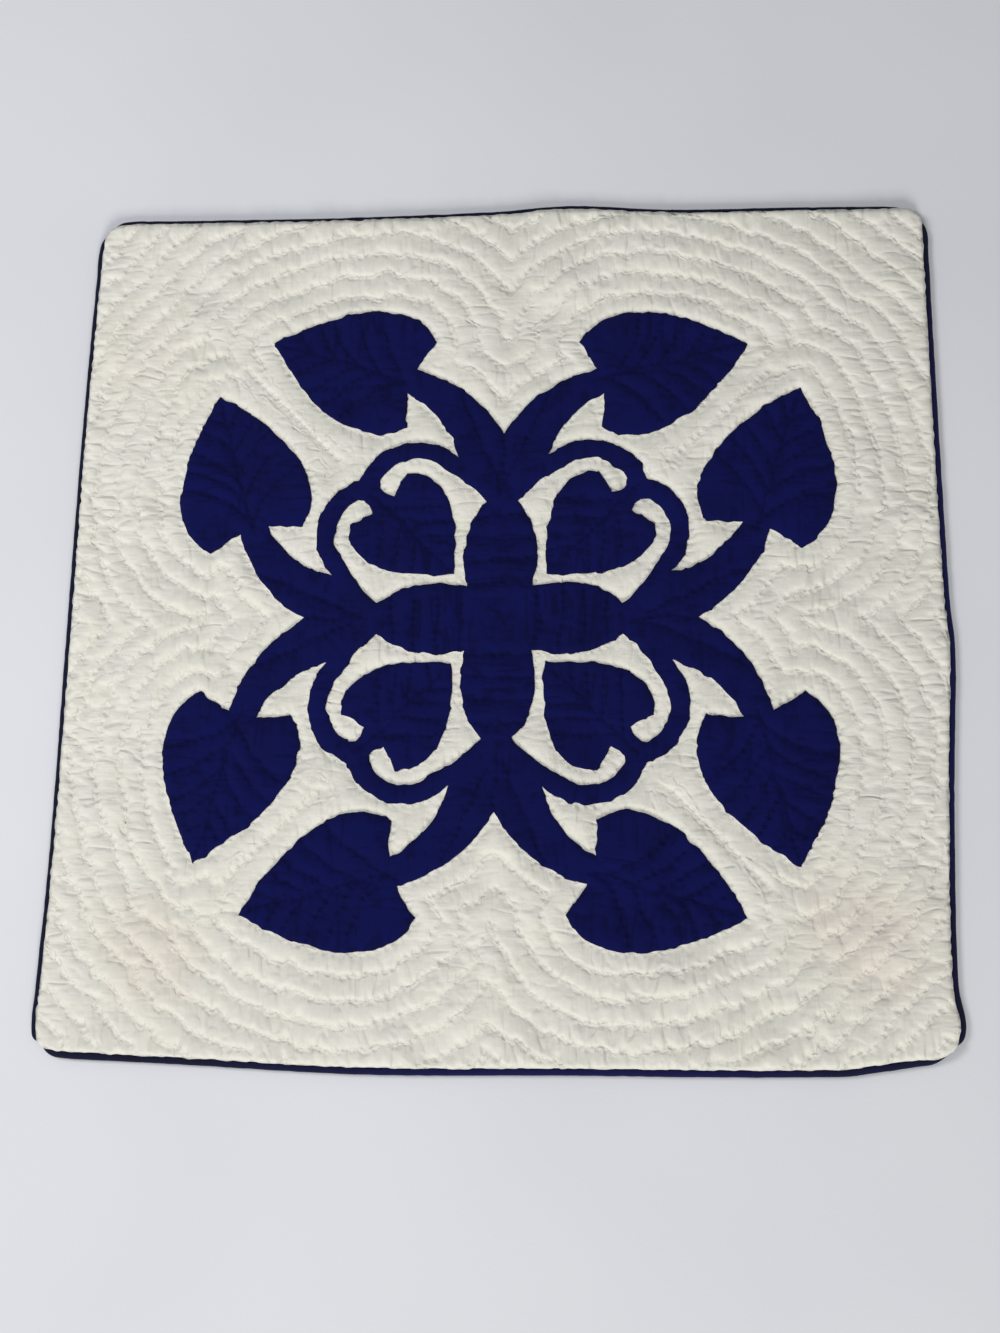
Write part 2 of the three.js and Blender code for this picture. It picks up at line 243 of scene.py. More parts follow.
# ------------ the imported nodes


class CadNode:
    """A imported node's surface, welded, as points and triangles."""

    def __init__(self, name: str) -> None:
        """Read the node's mesh.

        Args:
            name: The node's name.
        """
        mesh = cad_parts[name].data
        loose = np.empty(3 * len(mesh.vertices))
        mesh.vertices.foreach_get("co", loose)
        loose = loose.reshape(-1, 3)
        keys = np.round(loose / WELD).astype(np.int64)
        _, place, owner = np.unique(keys, axis=0, return_index=True, return_inverse=True)
        corners = np.empty(len(mesh.loops), np.int32)
        mesh.loops.foreach_get("vertex_index", corners)
        self.points = loose[place]
        self.triangles = owner.reshape(-1)[corners].reshape(-1, 3)

    def top_loops(self) -> list[np.ndarray]:
        """The loops round the node's upward faces, seen from above, the largest first."""
        a, b, c = (self.points[self.triangles[:, i]] for i in range(3))
        normal = np.cross(b - a, c - a)
        facing_up = normal[:, 2] > 0.9 * np.linalg.norm(normal, axis=1)
        top = self.triangles[facing_up]
        edges = {tuple(edge) for i in range(3) for edge in top[:, [i, (i + 1) % 3]].tolist()}
        ahead = {start: end for start, end in sorted(edges) if (end, start) not in edges}
        loops = []
        while ahead:
            loop = [min(ahead)]
            while loop[-1] in ahead:
                loop.append(ahead.pop(loop[-1]))
            loops.append(self.points[loop[:-1], :2])
        return sorted(loops, key=lambda loop: -abs(loop_area(loop)))

    def ring_at(self, height: float) -> np.ndarray:
        """The node's points at one height, counterclockwise round the middle, seen from above."""
        level = self.points[np.abs(self.points[:, 2] - height) < 10 * WELD, :2]
        spokes = level - level.mean(0)
        reach = np.linalg.norm(spokes, axis=1)
        outer = reach > reach.mean() / 2
        return level[outer][np.argsort(np.arctan2(spokes[outer, 1], spokes[outer, 0]))]


@dataclass(frozen=True)
class CornerTaper:
    """How the piping runs out at a corner.

    Attributes:
        bare: The length round the corner where none shows.
        before: The length over which it runs out before that.
        after: The length over which it comes back.
    """

    bare: float
    before: float
    after: float


@dataclass
class SeamLine:
    """The cover's outer line, and how its edge and its piping lie at each place along it.

    Towards a corner the piping is drawn in under the front's edge until none of it shows.

    Attributes:
        spacing: From one place to the next.
        edge_inset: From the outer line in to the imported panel's edge, along a side and at a corner.
        cover_inset: From the outer line in to the cloth that shows, likewise.
        shoulder_inset: From the outer line in to the wadding's side.
        drawn_in: How much further in the wadding and the piping lie at a corner.
        level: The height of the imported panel's edge.
        shoulder_level: The height at which its wadding's side is read.
        tapers: The four corners, from the near left one round counterclockwise.
    """

    spacing: float = 1.5 * MM
    edge_inset: tuple[float, float] = (4.0 * MM, 0.2 * MM)
    cover_inset: tuple[float, float] = (3.25 * MM, 1.3 * MM)
    shoulder_inset: float = 5.3 * MM
    drawn_in: float = 3.0 * MM
    level: float = 5.1 * MM
    shoulder_level: float = 3.4 * MM
    tapers: tuple[CornerTaper, ...] = (
        CornerTaper(2 * MM, 7 * MM, 16 * MM),
        CornerTaper(5 * MM, 32 * MM, 13 * MM),
        CornerTaper(10 * MM, 12 * MM, 22 * MM),
        CornerTaper(2 * MM, 12 * MM, 16 * MM),
    )

    def __post_init__(self) -> None:
        """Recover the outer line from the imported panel's rings, and ease its corners."""
        node = CadNode("front_panel")
        edge, shoulder = node.ring_at(self.level), node.ring_at(self.shoulder_level)
        start = int(np.argmin(np.linalg.norm(shoulder - edge[0], axis=1)))
        away = edge - np.roll(shoulder, -start, 0)
        overhang = np.linalg.norm(away, axis=1)
        side, corner = self.edge_inset
        cornering = (overhang - (self.shoulder_inset - side)) / (self.drawn_in + side - corner)
        rough = edge + away / overhang[:, None] * (side + (corner - side) * cornering)[:, None]
        self.line = smoothed(rough, steps_for(rough, self.spacing))
        self.out = outward(self.line)
        self.drawing = np.zeros(len(self.line))
        side, corner = self.cover_inset
        hidden = side / (self.drawn_in + side - corner)
        steps = np.linalg.norm(np.roll(self.line, -1, 0) - self.line, axis=1)
        run, total = np.cumsum(steps) - steps, float(steps.sum())
        for taper, (x, y) in zip(self.tapers, ((-1, -1), (1, -1), (1, 1), (-1, 1))):
            tip = int(np.argmax(self.line @ (x, y)))
            past = (run - run[tip] + total / 2) % total - total / 2
            beyond = np.abs(past) - taper.bare / 2
            left = np.clip(1 - beyond / np.where(past > 0, taper.after, taper.before), 0.0, 1.0)
            drawn = hidden * left**3 + (1 - hidden) * smooth_step(-2 * beyond / taper.bare)
            self.drawing = np.maximum(self.drawing, drawn)

    def inset(self, distance: float | np.ndarray) -> np.ndarray:
        """A loop a distance in from the outer line."""
        return self.line - self.out * np.broadcast_to(distance, len(self.line))[:, None]

    def front_edge(self, tuck: float = 0.0) -> np.ndarray:
        """The front's edge, or a loop tucked in under it by a distance."""
        side, corner = self.cover_inset
        return self.inset(side + (corner - side) * self.drawing + tuck)


# ------------ the grid


@dataclass
class SheetGrid:
    """A square grid of points over the cover, seen from above.

    Attributes:
        low: The lowest x and y.
        high: The highest x and y.
        spacing: The distance between neighbours.
        x: Each point's x, row by row.
        y: Each point's y.
    """

    low: np.ndarray
    high: np.ndarray
    spacing: float = 1.56 * MM
    x: np.ndarray = field(init=False)
    y: np.ndarray = field(init=False)

    def __post_init__(self) -> None:
        """Lay the points out, row by row."""
        columns = np.arange(self.low[0], self.high[0], self.spacing)
        rows = np.arange(self.low[1], self.high[1], self.spacing)
        self.x, self.y = np.meshgrid(columns, rows)

    def cell(self, points: np.ndarray) -> tuple[np.ndarray, np.ndarray]:
        """Where points lie, as fractional row and column, kept inside the grid."""
        place = (points[:, 1::-1] - (self.y[0, 0], self.x[0, 0])) / self.spacing
        last = np.array(self.x.shape) - 1.001
        place = np.clip(place, 0.0, last)
        return place[:, 0], place[:, 1]

    def sample(self, values: np.ndarray, points: np.ndarray) -> np.ndarray:
        """Read values between grid points.

        Args:
            values: One value or vector for each grid point.
            points: Where to read, one row each.

        Returns:
            The values there.
        """
        row, column = self.cell(points)
        i, j = row.astype(int), column.astype(int)
        shape = (-1,) + (1,) * (values.ndim - 2)
        u, v = (row - i).reshape(shape), (column - j).reshape(shape)
        low = values[i, j] * (1 - v) + values[i, j + 1] * v
        high = values[i + 1, j] * (1 - v) + values[i + 1, j + 1] * v
        return low * (1 - u) + high * u

    def inside(self, loops: Sequence[np.ndarray]) -> np.ndarray:
        """Tell which grid points lie inside the loops, where a loop inside another is a hole."""
        start, end = np.vstack(loops), np.vstack([np.roll(loop, -1, 0) for loop in loops])
        flags = np.zeros(self.x.shape, bool)
        for i, y in enumerate(self.y[:, 0]):
            crossed = (start[:, 1] <= y) != (end[:, 1] <= y)
            a, b = start[crossed], end[crossed]
            hits = np.sort(a[:, 0] + (y - a[:, 1]) / (b[:, 1] - a[:, 1]) * (b[:, 0] - a[:, 0]))
            flags[i] = np.searchsorted(hits, self.x[i]) % 2 == 1
        return flags

    def distance(self, loops: Sequence[np.ndarray]) -> np.ndarray:
        """How far each grid point lies from the nearest point of the loops."""
        places = np.vstack(loops)
        tree = kdtree.KDTree(len(places))
        for i, (x, y) in enumerate(places.tolist()):
            tree.insert((x, y, 0.0), i)
        tree.balance()
        flat = zip(self.x.ravel().tolist(), self.y.ravel().tolist())
        return np.array([tree.find((x, y, 0.0))[2] for x, y in flat]).reshape(self.x.shape)

    def slope(self, values: np.ndarray) -> np.ndarray:
        """The unit direction in which values grow fastest, for each grid point."""
        up, right = np.gradient(values, self.spacing)
        vector = np.stack([right, up], -1)
        return vector / (np.linalg.norm(vector, axis=-1, keepdims=True) + TINY)

    def unevenness(self, scale: float | tuple[float, float], seed: int, abrupt: float = 1.0) -> np.ndarray:
        """Soft random hills and hollows over the grid.

        Args:
            scale: The distance from one hill to the next, or that distance up and across.
            seed: Picks the pattern.
            abrupt: How many times steeper than soft the way from hill to hollow is.

        Returns:
            A value for each grid point, mostly between -1 and 1.
        """
        up, right = np.broadcast_to(scale, 2) / self.spacing
        rows, columns = self.x.shape
        coarse = np.random.default_rng(seed).normal(size=(int(rows / up) + 3, int(columns / right) + 3))
        row, column = np.arange(rows) / up, np.arange(columns) / right
        i, j = row.astype(int), column.astype(int)
        u = smooth_step((row - i - 0.5) * abrupt + 0.5)[:, None]
        v = smooth_step((column - j - 0.5) * abrupt + 0.5)[None]
        low = coarse[i][:, j] * (1 - v) + coarse[i][:, j + 1] * v
        high = coarse[i + 1][:, j] * (1 - v) + coarse[i + 1][:, j + 1] * v
        return low * (1 - u) + high * u

    def contours(self, values: np.ndarray, level: float) -> list[np.ndarray]:
        """Follow the lines along which values equal a level.

        Args:
            values: One value for each grid point.
            level: The value to follow.

        Returns:
            The lines, each as rows of points.
        """
        height = np.where(values == level, TINY * MM, values - level)
        points: dict[tuple[int, int, int], tuple[float, float]] = {}
        for axis in (0, 1):
            ahead = np.roll(height, -1, 1 - axis)
            crossed = (height > 0) != (ahead > 0)
            crossed[(slice(None), -1) if axis == 0 else (-1,)] = False
            row, column = np.nonzero(crossed)
            share = height[row, column] / (height[row, column] - ahead[row, column]) * self.spacing
            x = self.x[row, column] + (share if axis == 0 else 0.0)
            y = self.y[row, column] + (share if axis == 1 else 0.0)
            keys = zip([axis] * len(row), row.tolist(), column.tolist())
            points.update(zip(keys, zip(x.tolist(), y.tolist())))
        links: dict[tuple[int, int, int], list[tuple[int, int, int]]] = {key: [] for key in points}
        cells = {(r - dr, c - dc) for a, r, c in points for dr, dc in ((0, 0), (1 - a, a))}
        for row, column in sorted(cells):
            around = ((0, row, column), (1, row, column + 1), (0, row + 1, column), (1, row, column))
            met = [key for key in around if key in points]
            for one, other in zip(met[::2], met[1::2]):
                links[one].append(other)
                links[other].append(one)
        return [np.array([points[key] for key in line]) for line in self.chains(links)]

    @staticmethod
    def chains(links: dict) -> Iterable[list]:
        """Walk linked keys into lines, the open ones first.

        Args:
            links: The one or two neighbours of each key.

        Yields:
            Each line's keys in order; a closed line ends on its first key.
        """
        seen = set()
        for start in sorted(links, key=lambda key: (len(links[key]), key)):
            if start in seen:
                continue
            line = [start]
            while line[-1] not in seen:
                seen.add(line[-1])
                line += [key for key in links[line[-1]] if key not in seen][:1]
            if start in links[line[-1]] and len(line) > 2:
                line.append(start)
            if len(line) > 3:
                yield line


# ------------ the rows of stitches


class RowKind(Enum):
    """The rows of running stitches, each with how deep it pulls the cloth down, in metres."""

    ECHO = 1.05 * MM
    DITCH = 1.0 * MM
    CHANNEL = 0.95 * MM
    VEIN = 0.75 * MM
    RIB = 0.6 * MM


@dataclass(frozen=True)
class Row:
    """One row of stitches.

    Attributes:
        kind: What it follows, and so how deep it pulls.
        line: Its points.
    """

    kind: RowKind
    line: np.ndarray


@dataclass(frozen=True)
class Stitch:
    """One stitch where its thread shows.

    Attributes:
        row: Its row in the grid.
        column: Its column.
        heading: Its direction, in radians.
        kind: The kind of row that it belongs to.
    """

    row: int
    column: int
    heading: float
    kind: RowKind


@dataclass(frozen=True)
class Veins:
    """How a leaf's side veins lie.

    Attributes:
        lean: The angle between the midrib and a vein, in degrees.
        bend: How far a vein turns forward in each millimetre, in degrees.
        first: From the leaf's base to the first pair.
        spacing: From one pair to the next.
        stagger: How far one vein of a pair starts ahead and the other behind, as a share of the
            spacing, and how much less at the next pair.
    """

    lean: float
    bend: float
    first: float
    spacing: float
    stagger: tuple[float, float] = (0.12, 0.08)


class Motif:
    """The leaf medallion's outline and what is measured from it."""

    def __init__(self, grid: SheetGrid) -> None:
        """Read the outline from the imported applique.

        Args:
            grid: The grid on which distances are kept.
        """
        self.cut = CadNode("applique").top_loops()
        self.middle = np.mean([hole.mean(0) for hole in self.cut[1:]], axis=0)
        fine = self.loops(0.4 * MM)
        away = grid.distance(fine)
        self.grid = grid
        self.clear = np.where(grid.inside(fine), -away, away)

    def loops(self, spacing: float) -> list[np.ndarray]:
        """The outline and its four openings as smooth loops, with points at a spacing."""
        return [smoothed(loop, steps_for(loop, spacing)) for loop in self.cut]

    def tips(self) -> list[np.ndarray]:
        """The eight outer leaves' tips, counterclockwise from the right arm."""
        edge = self.cut[0] - self.middle
        eighth = np.floor((np.degrees(np.arctan2(edge[:, 1], edge[:, 0])) % 360) / EIGHTH).astype(int)
        reach = np.linalg.norm(edge, axis=1)
        return [self.middle + edge[np.argmax(np.where(eighth == i, reach, 0.0))] for i in range(8)]

    def seam_within(self, start: np.ndarray, heading: float, bend: float, margin: float) -> np.ndarray:
        """Trace a line over the navy cloth until it nears the edge.

        Args:
            start: Where the line starts.
            heading: Its direction, in degrees.
            bend: How far it turns in each millimetre, in degrees.
            margin: How far from the edge it stops.

        Returns:
            The line's points, a millimetre apart.
        """
        points = [start]
        while float(self.grid.sample(self.clear, points[-1][None])[0]) < -margin:
            angle = math.radians(heading + bend * len(points))
            points.append(points[-1] + MM * np.array([math.cos(angle), math.sin(angle)]))
        return np.array(points)


@dataclass
class QuiltPlan:
    """Where the rows of stitches run.

    Attributes:
        motif: The medallion that they follow.
        seam: The cover's outer line.
        echo_spacing: From one echo row to the next.
        echo_start: How much nearer the motif the first echo row lies than that.
        echo_rows: How many are followed, enough to reach the corners.
        ditch: From the motif's edge to the row beside it.
        seam_gap: Where rows stop short of the panel's edge.
        wander: How far the rows drift.
        wander_size: The distance over which they do.
        jag: How far they jump in small sudden steps.
        jag_size: The width and length of those steps.
        rucked: How much farther they jump where the cover lies rucked.
        rucked_to: The way to its rucked part.
        rucked_reach: How far from the middle that part is.
        rucked_middle: How far on the way to being rucked its middle is, from 0 to 1.
        channel_start: Where a diagonal's row starts, as a share of the way to the leaf tips.
        channel_clear: How near the motif it may run.
        leaf_base: Where an outer leaf's midrib starts: how far out, and its angle in degrees from
            the nearest arm.
        inner_leaf: Where an inner leaf's midrib starts and ends, from the middle.
        outer_veins: The side veins of an outer leaf.
        inner_veins: The side veins of an inner leaf.
        vein_end: How far short of the tip a midrib ends.
        rib_spacing: From one rib of an arm to the next.
        ribs: Where an arm's ribs begin and end, from the middle.
        arm_end: Where the fan at an arm's end starts.
        fan: The headings of the fan's rows, from the arm, in degrees.
        fan_start: How many millimetres of them are left out, so that they don't meet.
        shake: How far veins and ribs stray.
        shake_sizes: The distances over which they do.
        vein_gap: Where veins stop short of the motif's edge.
        shortest_row: Shorter pieces of echo rows are left out.
    """

    motif: Motif
    seam: SeamLine
    echo_spacing: float = 12.1 * MM
    echo_start: float = 0.6 * MM
    echo_rows: int = 12
    ditch: float = 0.9 * MM
    seam_gap: float = 1.5 * MM
    wander: float = 0.35 * MM
    wander_size: float = 28 * MM
    jag: float = 1.1 * MM
    jag_size: tuple[float, float] = (5 * MM, 12 * MM)
    rucked: float = 0.6
    rucked_to: tuple[float, float] = (-0.6, -0.8)
    rucked_reach: float = 220 * MM
    rucked_middle: float = 0.4
    channel_start: float = 0.63
    channel_clear: float = 7 * MM
    leaf_base: tuple[float, float] = (142 * MM, 21.0)
    inner_leaf: tuple[float, float] = (99 * MM, 36 * MM)
    outer_veins: Veins = Veins(32.0, -0.9, 3 * MM, 13.5 * MM)
    inner_veins: Veins = Veins(45.0, 0.0, 11 * MM, 12 * MM)
    vein_end: float = 3 * MM
    rib_spacing: float = 12 * MM
    ribs: tuple[float, float] = (20 * MM, 64 * MM)
    arm_end: float = 71 * MM
    fan: tuple[float, ...] = (-24.0, 0.0, 24.0)
    fan_start: int = 4
    shake: float = 0.7 * MM
    shake_sizes: tuple[float, float] = (5 * MM, 14 * MM)
    vein_gap: float = 1.4 * MM
    shortest_row: float = 24 * MM

    def __post_init__(self) -> None:
        """Measure the grid: how far inside the panel's edge, how rucked and how many rows out."""
        grid = self.motif.grid
        rough = self.seam.front_edge()
        edge = smoothed(rough, np.full(len(rough), 4))
        away = grid.distance([edge])
        self.depth = np.where(grid.inside([edge]), away, -away)
        places = kdtree.KDTree(len(rough))
        for i, (x, y) in enumerate(rough.tolist()):
            places.insert((x, y, 0.0), i)
        places.balance()
        flat = zip(grid.x.ravel().tolist(), grid.y.ravel().tolist())
        nearest = [places.find((x, y, 0.0))[1] for x, y in flat]
        self.drawing = self.seam.drawing[nearest].reshape(grid.x.shape)
        facing = grid.slope(self.motif.clear) ** 2
        short, long = self.jag_size
        jagged = (facing[..., 1] * grid.unevenness((long, short), Seed.JAG_UP, abrupt=3.0)
                  + facing[..., 0] * grid.unevenness((short, long), Seed.JAG_ACROSS, abrupt=3.0))
        ruck_x, ruck_y = self.rucked_to
        to_side = smooth_step(np.abs(grid.x) / self.rucked_reach)
        towards = (ruck_x * grid.x + ruck_y * grid.y) / self.rucked_reach
        self.rucking = to_side * smooth_step(self.rucked_middle + towards)
        wandering = self.jag * (1 + self.rucked * self.rucking) * jagged
        wandering += self.wander * grid.unevenness(self.wander_size, Seed.DRIFT)
        self.rows_out = (self.motif.clear + self.echo_start + wandering) / self.echo_spacing

    def rows(self) -> list[Row]:
        """Every row, in the order in which it takes its stitches."""
        grid = self.motif.grid
        small, large = self.shake_sizes
        shift = np.dstack([grid.unevenness(small, seed) + grid.unevenness(large, seed + 1)
                           for seed in (Seed.SHAKE_X, Seed.SHAKE_Y)])
        drawn = [*self.leaf_veins(), *self.arm_ribs()]
        shaken = [Row(row.kind, row.line + self.shake * grid.sample(shift, row.line)) for row in drawn]
        return [*self.channels(), *self.ditches(), *shaken, *self.echoes()]

    def ditches(self) -> list[Row]:
        """The rows that hug the motif and its openings."""
        lines = self.motif.grid.contours(self.motif.clear, self.ditch)
        return [Row(RowKind.DITCH, line) for line in lines]

    def channels(self) -> list[Row]:
        """The single row down the middle of each diagonal, between a pair of leaves."""
        tips = self.motif.tips()
        rows = []
        for near, far in zip(tips[0::2], tips[1::2]):
            end = (near + far) / 2
            start = self.motif.middle + self.channel_start * (end - self.motif.middle)
            rows.append(Row(RowKind.CHANNEL, np.linspace(start, end, 60)))
        return rows

    def echoes(self) -> list[Row]:
        """The rows that repeat the motif's outline out to the edge, less where a channel's row runs."""
        taken = np.vstack([row.line for row in self.channels()])
        rows = []
        for count in range(1, self.echo_rows + 1):
            for line in self.motif.grid.contours(self.rows_out, count):
                away = np.linalg.norm(line[:, None] - taken[None], axis=2).min(1)
                free = away > (self.channel_clear if count == 1 else 0.0)
                for part in np.split(np.arange(len(line)), np.flatnonzero(np.diff(free.astype(int))) + 1):
                    if free[part[0]] and len(part) * self.motif.grid.spacing > self.shortest_row:
                        rows.append(Row(RowKind.ECHO, line[part]))
        return rows

    def leaf_veins(self) -> list[Row]:
        """A midrib with side veins on each outer leaf and on each inner leaf."""
        middle = self.motif.middle
        rows = []
        for i, tip in enumerate(self.motif.tips()):
            reach, off_arm = self.leaf_base
            angle = math.radians(EIGHTH * i + (off_arm if i % 2 == 0 else EIGHTH - off_arm))
            base = middle + reach * np.array([math.cos(angle), math.sin(angle)])
            rows += self.veins(base, tip, self.outer_veins)
        start, end = self.inner_leaf
        for quarter in range(4):
            angle = math.radians(90 * quarter + EIGHTH)
            along = np.array([math.cos(angle), math.sin(angle)])
            rows += self.veins(middle + start * along, middle + end * along, self.inner_veins)
        return rows

    def veins(self, base: np.ndarray, tip: np.ndarray, style: Veins) -> list[Row]:
        """One leaf's midrib and its pairs of side veins.

        Args:
            base: Where the leaf meets its stem.
            tip: The leaf's point.
            style: How its side veins lie.

        Returns:
            The leaf's rows.
        """
        span = tip - base
        length = float(np.linalg.norm(span))
        heading = math.degrees(math.atan2(span[1], span[0]))
        rows = [Row(RowKind.VEIN, np.linspace(base, tip - self.vein_end * span / length, 50))]
        most, less = style.stagger
        for count, run in enumerate(np.arange(style.first, length - style.spacing, style.spacing)):
            for side in (1, -1):
                start = base + span / length * (run + side * style.spacing * (most - less * (count % 3)))
                turned = heading + side * style.lean
                line = self.motif.seam_within(start, turned, -side * style.bend, self.vein_gap)
                if len(line) > 4:
                    rows.append(Row(RowKind.VEIN, line))
        return rows

    def arm_ribs(self) -> list[Row]:
        """Short rows across the four arms of the cross, and a fan of three at each arm's end."""
        rows = []
        for arm in range(4):
            heading = 90.0 * arm
            along = np.array([math.cos(math.radians(heading)), math.sin(math.radians(heading))])
            for out in np.arange(*self.ribs, self.rib_spacing):
                start = self.motif.middle + out * along
                halves = [self.motif.seam_within(start, heading + aside, 0.0, self.vein_gap)
                          for aside in (90, -90)]
                rows.append(Row(RowKind.RIB, np.vstack([halves[0][:0:-1], halves[1]])))
            start = self.motif.middle + self.arm_end * along
            for aside in self.fan:
                line = self.motif.seam_within(start, heading + aside, 0.0, self.vein_gap)
                rows.append(Row(RowKind.RIB, line[self.fan_start :]))
        return rows


# ------------ the quilted cloth


@dataclass(frozen=True)
class Threads:
    """The cloth's threads in one direction, as springs between grid points.

    Attributes:
        rows: How many rows ahead the far end lies.
        columns: How many columns ahead, or behind where it is negative.
        strength: The share of an error that a pass takes out.
        lengths: Each spring's length when the cloth is at ease.
    """

    rows: int
    columns: int
    strength: float
    lengths: np.ndarray

    def ends(self, block: np.ndarray) -> tuple[np.ndarray, np.ndarray]:
        """The near and far ends of every spring, as views of a block of grid values."""
        count = block.shape[1]
        near = slice(0, count - self.columns) if self.columns >= 0 else slice(-self.columns, count)
        far = slice(self.columns, count) if self.columns >= 0 else slice(0, count + self.columns)
        return block[: len(block) - self.rows, near], block[self.rows :, far]

    def pull(self, places: np.ndarray, freedom: np.ndarray) -> None:
        """Move both ends of each spring towards its length, in passes that share no point.

        Args:
            places: The grid points' places, which change.
            freedom: 1 where a point may move and 0 where it is pinned.
        """
        near, far = self.ends(places)
        near_free, far_free = self.ends(freedom)
        span = max(self.rows, abs(self.columns))
        for start in range(2 * span):
            every = slice(start, None, 2 * span)
            pick = (every,) if self.rows else (slice(None), every)
            across = far[pick] - near[pick]
            now = np.sqrt((across * across).sum(-1)) + TINY
            error = 1.0 - self.lengths[pick] / now
            if span == 2:
                error = np.minimum(error, 0.0)
            one, other = near_free[pick], far_free[pick]
            shift = (self.strength * error / np.maximum(one + other, TINY))[..., None] * across
            near[pick] += shift * one[..., None]
            far[pick] -= shift * other[..., None]


@dataclass
class QuiltedCloth:
    """The front's top cloth, held down by rows of stitches and left to pucker between them.

    Attributes:
        plan: Where the rows run.
        pitch: From one stitch to the next.
        spare_across: The cloth's spare length across the bands, as a share.
        spare_along: Its spare length along them.
        spare_at_seam: Its further spare length along the outer seam.
        seam_reach: How far in from the seam that length fades out.
        uneven_along: How unevenly the length along the bands varies, and over what distance.
        uneven_across: The same of the length across them.
        loft: How high the wadding would push the cloth if nothing held it.
        push: The share of the way to the loft that one round pushes it.
        softness: The share by which a round evens each point out with its neighbours.
        bias: The strength of the springs across the weave's squares.
        stiffness: The strength of the springs over two spaces, which keep folds from closing.
        rounds: How many rounds the cloth relaxes for.
        memory: The share of its speed that it keeps from one round to the next.
        start: How uneven it is before the first round.
        deepest: The depth past which it doesn't sink between its stitches.
        uneven_depth: How much the stitches' depth varies, as a share.
        crooked: How far a stitch lies off its row.
        largest_snap: The farthest that a point moves to meet its stitch, as a share of the spacing.
    """

    plan: QuiltPlan
    pitch: float = STITCH_PITCH
    spare_across: float = 0.06
    spare_along: float = 0.042
    spare_at_seam: float = 0.06
    seam_reach: float = 10 * MM
    uneven_along: tuple[float, float] = (0.6, 16 * MM)
    uneven_across: tuple[float, float] = (0.3, 22 * MM)
    loft: float = 2.6 * MM
    push: float = 0.012
    softness: float = 0.04
    bias: float = 0.3
    stiffness: float = 0.4
    rounds: int = 170
    memory: float = 0.9
    start: float = 0.14 * MM
    deepest: float = 1.4 * MM
    uneven_depth: float = 0.22
    crooked: float = 0.08 * MM
    largest_snap: float = 0.42

    def __post_init__(self) -> None:
        """Lay the cloth flat on the grid with nothing sewn."""
        grid = self.plan.motif.grid
        self.flat = np.dstack([grid.x, grid.y, np.zeros_like(grid.x)])
        self.places = self.flat.copy()
        self.stitched = np.zeros(grid.x.shape, bool)
        self.on_row = np.zeros(grid.x.shape, bool)
        self.stitches: list[Stitch] = []
        self.lines: list[np.ndarray] = []
        self.random = np.random.default_rng(Seed.HAND)

    def sew(self, rows: Iterable[Row]) -> None:
        """Pin every other point of each row down, where the thread shows on top."""
        for row in rows:
            line = spaced(row.line, self.pitch / 2, self.random.uniform(0.0, self.pitch / 2))
            if len(line) > 2:
                self.lines.append(line)
                self.sew_line(line, row.kind)

    def sew_line(self, line: np.ndarray, kind: RowKind) -> None:
        """Pin one line's stitches.

        Args:
            line: The line's points, half a stitch's pitch apart.
            kind: The row's kind, which sets its depth.
        """
        grid = self.plan.motif.grid
        heading = np.arctan2(*np.gradient(line, axis=0).T[::-1])
        clear = grid.sample(self.plan.depth, line) > self.plan.seam_gap
        row, column = (np.round(place).astype(int) for place in grid.cell(line))
        jitter = self.random.normal(0.0, self.crooked, line.shape)
        depth = kind.value * (1 + self.uneven_depth * self.random.normal(size=len(line)))
        for i in np.flatnonzero(clear):
            at = (row[i], column[i])
            if self.on_row[at]:
                continue
            self.on_row[at] = True
            farthest = self.largest_snap * grid.spacing
            self.places[at][:2] += np.clip(line[i] + jitter[i] - self.flat[at][:2], -farthest, farthest)
            if i % 2 == 0:
                self.stitched[at] = True
                self.places[at][2] = -depth[i]
                self.stitches.append(Stitch(row[i], column[i], float(heading[i]), kind))

    def threads(self) -> list[Threads]:
        """The cloth's springs, each a little longer than its place, more along the bands than across."""
        grid = self.plan.motif.grid
        across = grid.slope(self.plan.motif.clear)
        inward = grid.slope(self.plan.depth)
        uneven, size = self.uneven_along
        varied = np.clip(1 + uneven * grid.unevenness(size, Seed.SPARE_ALONG), 0.1, 3.0)
        along_share = self.spare_along * varied
        uneven, size = self.uneven_across
        varied = np.clip(1 + uneven * grid.unevenness(size, Seed.SPARE_ACROSS), 0.2, 2.0)
        across_share = self.spare_across * varied
        seam_share = self.spare_at_seam * np.exp(-((self.plan.depth / self.seam_reach) ** 2))
        made = []
        for rows, columns, strength in ((0, 1, 1.0), (1, 0, 1.0), (1, 1, self.bias), (1, -1, self.bias),
                                        (0, 2, self.stiffness), (2, 0, self.stiffness)):
            bare = Threads(rows, columns, strength, np.empty(0))
            near, far = bare.ends(self.places)
            span = (far - near)[..., :2]
            length = np.linalg.norm(span, axis=-1)
            unit = span / length[..., None]
            to_band = (unit * bare.ends(across)[0]).sum(-1) ** 2
            to_seam = (unit * bare.ends(inward)[0]).sum(-1) ** 2
            spare = (bare.ends(across_share)[0] * to_band + bare.ends(along_share)[0] * (1 - to_band)
                     + bare.ends(seam_share)[0] * (1 - to_seam))
            made.append(Threads(rows, columns, strength, length * (1 + spare)))
        return made

